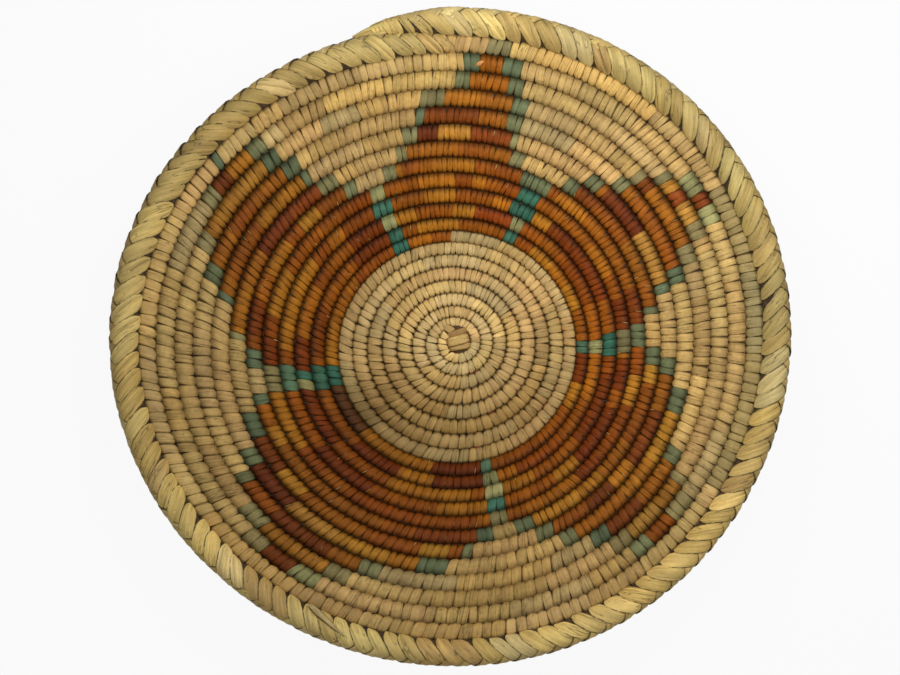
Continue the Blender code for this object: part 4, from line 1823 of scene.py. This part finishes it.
@dataclass
class LooseEnds:
    """The ends of leaf that stand off the sewing: the braid's tail, and one at the lower left.

    Widths, lifts and places across are shares of the coil's radius there, unless they are in mm.
    """

    path: CoilPath
    tail_turns: tuple[float, float] = (21.281, 21.298)
    tail_strips: tuple[tuple[float, Colour], ...] = (
        (-0.5, linear(214, 188, 118)), (0.05, linear(196, 168, 100)), (0.55, linear(206, 182, 110)))
    tail_steps: int = 10
    tail_lift: float = 0.95
    tail_dive: float = 0.3
    tail_width: float = 1.15
    tail_thickness: float = 0.6 * MM
    leaf_turns: tuple[float, float] = (20.675, 20.698)
    leaf_across: tuple[float, float] = (-1.15, 0.35)
    leaf_steps: int = 12
    leaf_lift: float = 0.80
    leaf_arch: float = 0.42
    leaf_arch_start: float = 0.15
    leaf_arch_run: float = 0.7
    leaf_skew: float = -0.9
    leaf_width: float = 3.6 * MM
    leaf_width_steps: tuple[float, ...] = (0.0, 0.12, 0.3, 1.0)
    leaf_width_shares: tuple[float, ...] = (0.6, 0.95, 1.0, 0.3)
    leaf_thickness: float = 0.45 * MM
    leaf_colour: Colour = linear(202, 178, 122)
    trace_turns: tuple[tuple[float, float], ...] = (
        (8.029, 3.0), (8.152, 4.0), (6.163, 3.0), (4.402, 9.0), (5.794, 5.0), (5.833, 5.0),
        (7.785, 5.0), (2.846, 20.0), (7.911, 4.0))
    trace_steps: int = 7
    trace_wave: float = 0.25 * MM
    trace_ripple: float = 2.4
    trace_reach: float = 1.04
    trace_lift: float = 0.72
    trace_width: float = 0.8 * MM
    trace_taper: float = 0.8
    trace_colour: Colour = linear(122, 40, 26)
    chip_turn: float = 19.233
    chip_length: float = 3.6 * MM
    chip_shares: tuple[float, ...] = (0.0, 0.4, 0.8, 1.0)
    chip_rise: float = 0.25
    chip_start: float = 0.3
    chip_run: float = 0.7
    chip_widths: tuple[float, ...] = (1.0 * MM, 2.6 * MM, 1.8 * MM, 0.6 * MM)
    chip_colour: Colour = linear(226, 160, 92)
    fibre_thickness: float = 0.4 * MM

    def tail(self, material: bpy.types.Material) -> bpy.types.Object:
        """Make the braid's thin end: three strips that dive together beside the braid's start.

        Args:
            material: The braid's leaf material.

        Returns:
            The finished piece.
        """
        parts = []
        for index, (shift, colour) in enumerate(self.tail_strips):
            line, sides, widths = [], [], []
            for step in range(self.tail_steps):
                share = step / (self.tail_steps - 1)
                turn = float(np.interp(share, (0.0, 1.0), self.tail_turns))
                section = self.path.section(turn)
                lift = section.radius * (self.tail_lift - self.tail_dive * share)
                across = shift * section.radius
                line.append(section.middle + section.normal * lift + section.outward * across)
                sides.append(section.outward)
                widths.append(self.tail_width * section.radius)
            parts.append(ribbon(f"tail_{index}", line, sides, widths, self.tail_thickness,
                                colour))
        tail = joined("braid_tail", parts)
        tail.data.materials.append(material)
        return seated(tail, "braid_leaf", "rim_braid_tail")

    def leaf(self, material: bpy.types.Material) -> bpy.types.Object:
        """Make the loose strip that lies over the braid.

        Args:
            material: The braid's leaf material.

        Returns:
            The finished piece.
        """
        line, sides, widths = [], [], []
        for step in range(self.leaf_steps):
            share = step / (self.leaf_steps - 1)
            section = self.path.section(float(np.interp(share, (0.0, 1.0), self.leaf_turns)))
            across = section.radius * float(np.interp(share, (0.0, 1.0), self.leaf_across))
            swing = math.pi * (self.leaf_arch_start + self.leaf_arch_run * share)
            arch = self.leaf_arch * math.sin(swing)
            lift = section.radius * (self.leaf_lift + arch)
            line.append(section.middle + section.normal * lift + section.outward * across)
            sides.append(section.outward + section.along * self.leaf_skew)
            widths.append(self.leaf_width * float(
                np.interp(share, self.leaf_width_steps, self.leaf_width_shares)))
        leaf = ribbon("loose_leaf", line, sides, widths, self.leaf_thickness, self.leaf_colour)
        leaf.data.materials.append(material)
        return seated(leaf, "natural_leaf", "loose_leaf_end")

    def fibre(self, index: int, turn: float, span: float) -> bpy.types.Object:
        """Make one red fibre in the seam inside a row.

        Args:
            index: The fibre's number.
            turn: Its middle along the coil.
            span: Its length, in degrees round the bowl.

        Returns:
            The fibre.
        """
        line, sides, widths = [], [], []
        half = (self.trace_steps - 1) / 2
        for step in range(self.trace_steps):
            place = turn + span / FULL_CIRCLE * (step / (self.trace_steps - 1) - 0.5)
            section = self.path.section(place)
            wave = self.trace_wave * math.sin(self.trace_ripple * step + index)
            inward = section.radius * self.trace_reach + wave
            line.append(section.middle - section.outward * inward
                        + section.normal * section.radius * self.trace_lift)
            sides.append(section.outward)
            taper = self.trace_taper * abs(step / half - 1) ** 2
            widths.append(self.trace_width * (1 - taper))
        return ribbon(f"trace_{index}", line, sides, widths, self.fibre_thickness,
                      self.trace_colour)

    def chip(self) -> bpy.types.Object:
        """Make the chip of pale leaf that stands up on a petal.

        Returns:
            The chip.
        """
        section = self.path.section(self.chip_turn)
        line = [section.middle + section.normal * section.radius * (1.0 + self.chip_rise * share)
                + section.outward * section.radius * (self.chip_run * share - self.chip_start)
                - section.along * self.chip_length * share for share in self.chip_shares]
        sides = [section.along + section.outward] * len(line)
        return ribbon("chip", line, sides, self.chip_widths, self.fibre_thickness,
                      self.chip_colour)

    def traces(self, material: bpy.types.Material) -> bpy.types.Object:
        """Join the red fibres that are caught in the seams of the base, and the chip.

        Args:
            material: The leaf material.

        Returns:
            The finished piece.
        """
        parts = [self.fibre(index, turn, span)
                 for index, (turn, span) in enumerate(self.trace_turns)]
        traces = joined("caught_fibres", [*parts, self.chip()])
        traces.data.materials.append(material)
        return seated(traces, "dyed_leaf")


@dataclass
class Studio:
    """The floor, the lamps and the camera."""

    camera_place: tuple[float, float, float] = (0.020, -0.040, 1.000)
    target: tuple[float, float, float] = (0.0, 0.0, 0.030)
    lens: float = 73.0
    shift: tuple[float, float] = (-0.006, 0.0033)
    floor_size: float = 8.0
    floor_colour: Colour = (0.86, 0.86, 0.86)
    floor_roughness: float = 0.9
    floor_glow: float = 0.93
    sky_light: float = 0.25
    sky_white: float = 0.96
    lamp_place: tuple[float, float, float] = (0.07, 0.13, 0.34)
    lamp_size: float = 0.30
    lamp_power: float = 1.0

    def build(self) -> None:
        """Set the whole stage up."""
        self.floor()
        self.world()
        self.lamp()
        self.camera()

    def floor(self) -> None:
        """Lay a white floor that keeps the bowl's shadow."""
        mesh = bpy.data.meshes.new("floor")
        half = self.floor_size / 2
        corners = [(-half, -half, 0.0), (half, -half, 0.0), (half, half, 0.0), (-half, half, 0.0)]
        mesh.from_pydata(corners, [], [(0, 1, 2, 3)])
        made, wiring, shader = new_material("white_floor")
        wiring.feed(shader, {"Base Color": (*self.floor_colour, 1.0),
                             "Roughness": self.floor_roughness})
        white = {"Color": (1.0, 1.0, 1.0, 1.0), "Strength": 1.0}
        share = wiring.math("MULTIPLY", self.seen(wiring), self.floor_glow)
        mixed = wiring.first("ShaderNodeMixShader", {
            0: share, 1: shader.outputs[0], 2: wiring.first("ShaderNodeEmission", white)})
        wiring.feed(made.node_tree.nodes["Material Output"], {"Surface": mixed})
        mesh.materials.append(made)
        linked("floor", mesh)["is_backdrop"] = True

    @staticmethod
    def seen(wiring: Wiring) -> Socket:
        """Tell the rays that see the stage from those that it lights.

        Args:
            wiring: The wiring of the stage's material or world.

        Returns:
            1 where it is seen, also by a reflection or through something, and 0 elsewhere.
        """
        rays = wiring.add("ShaderNodeLightPath").outputs
        direct = wiring.math("MAXIMUM", rays["Is Camera Ray"], rays["Is Glossy Ray"])
        return wiring.math("MAXIMUM", direct, rays["Is Transmission Ray"])

    def world(self) -> None:
        """Light the scene evenly from all round, in front of a sky as white as the floor."""
        world = bpy.data.worlds.new("studio")
        world.use_nodes = True
        wiring = Wiring(world.node_tree)
        strength = wiring.math("MULTIPLY_ADD", self.seen(wiring),
                               self.sky_white - self.sky_light, self.sky_light)
        wiring.feed(world.node_tree.nodes["Background"],
                    {"Color": (1.0, 1.0, 1.0, 1.0), "Strength": strength})
        bpy.context.scene.world = world

    def lamp(self) -> None:
        """Hang the one square soft lamp, facing straight down."""
        data = bpy.data.lights.new("key_light", "AREA")
        data.size = self.lamp_size
        data.energy = self.lamp_power
        lamp = bpy.data.objects.new("key_light", data)
        lamp.location = self.lamp_place
        lamp.visible_camera = False
        bpy.context.scene.collection.objects.link(lamp)

    def camera(self) -> None:
        """Put the camera over the bowl, as the photograph was taken."""
        data = bpy.data.cameras.new("camera")
        data.lens = self.lens
        data.shift_x, data.shift_y = self.shift
        camera = bpy.data.objects.new("camera", data)
        camera.location = self.camera_place
        back = (Vector(self.camera_place) - Vector(self.target)).normalized()
        right = Vector((0.0, 1.0, 0.0)).cross(back).normalized()
        camera.rotation_euler = Matrix((right, back.cross(right), back)).transposed().to_euler()
        bpy.context.scene.collection.objects.link(camera)
        bpy.context.scene.camera = camera


def main() -> None:
    """Build the bowl's pieces in order."""
    logging.basicConfig(level=logging.INFO, format="%(name)s: %(message)s")
    bpy.context.scene.view_settings.view_transform = "Standard"
    path = CoilPath()
    finishes = Finishes()
    # Each finish sets the painted shade at the strips' edges, and the seams' dirt and painted shade
    leaf = finishes.leaf(LeafFinish(
        "sewn_leaf", inner_dirt_and_shade=1.5, outer_dirt_and_shade=1.9, seam_reach=0.55))
    dyed_leaf = finishes.leaf(LeafFinish(
        "dyed_leaf", inner_dirt_and_shade=0.85, outer_dirt_and_shade=0.75, specular=0.12, mottle=0.28,
        edge_gap_shade=0.45))
    braid_leaf = finishes.leaf(LeafFinish(
        "braided_leaf", fibres=26.0, contrast=0.40, mottle=0.14, fibre_height=0.14 * MM,
        edge_gap_shade=1.5, edge_fade=0.0))
    tree = StitchTree()
    Studio().build()
    Foundation(path).build(finishes.grass(GrassFinish()))
    zones = (
        Zone("knot_stitches", "start_knot", "knot_leaf", StartKnot.start_turn, path.first_turn),
        Zone("base_stitches", "base_wrapping", "natural_leaf", path.first_turn, path.star_turn),
        Zone("star_ring_stitches", "star_ring_wrapping", "dyed_leaf", path.star_turn,
             path.petal_turn),
        Zone("petal_stitches", "petal_wrapping", "dyed_leaf", path.petal_turn, path.border_turn),
        Zone("border_stitches", "border_wrapping", "natural_leaf", path.border_turn,
             path.braid_turn),
    )
    Stitching(path, tree).build(zones, {"dyed_leaf": dyed_leaf}, leaf)
    RimBraid(path, tree).build(braid_leaf)
    knot = StartKnot(path)
    knot.wad(leaf)
    knot.folds(leaf)
    ends = LooseEnds(path)
    ends.tail(braid_leaf)
    ends.leaf(braid_leaf)
    ends.traces(leaf)
    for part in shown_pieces():
        LOG.info("piece %s: %d faces", part.name, len(part.data.polygons))


if __name__ == "__main__":
    main()
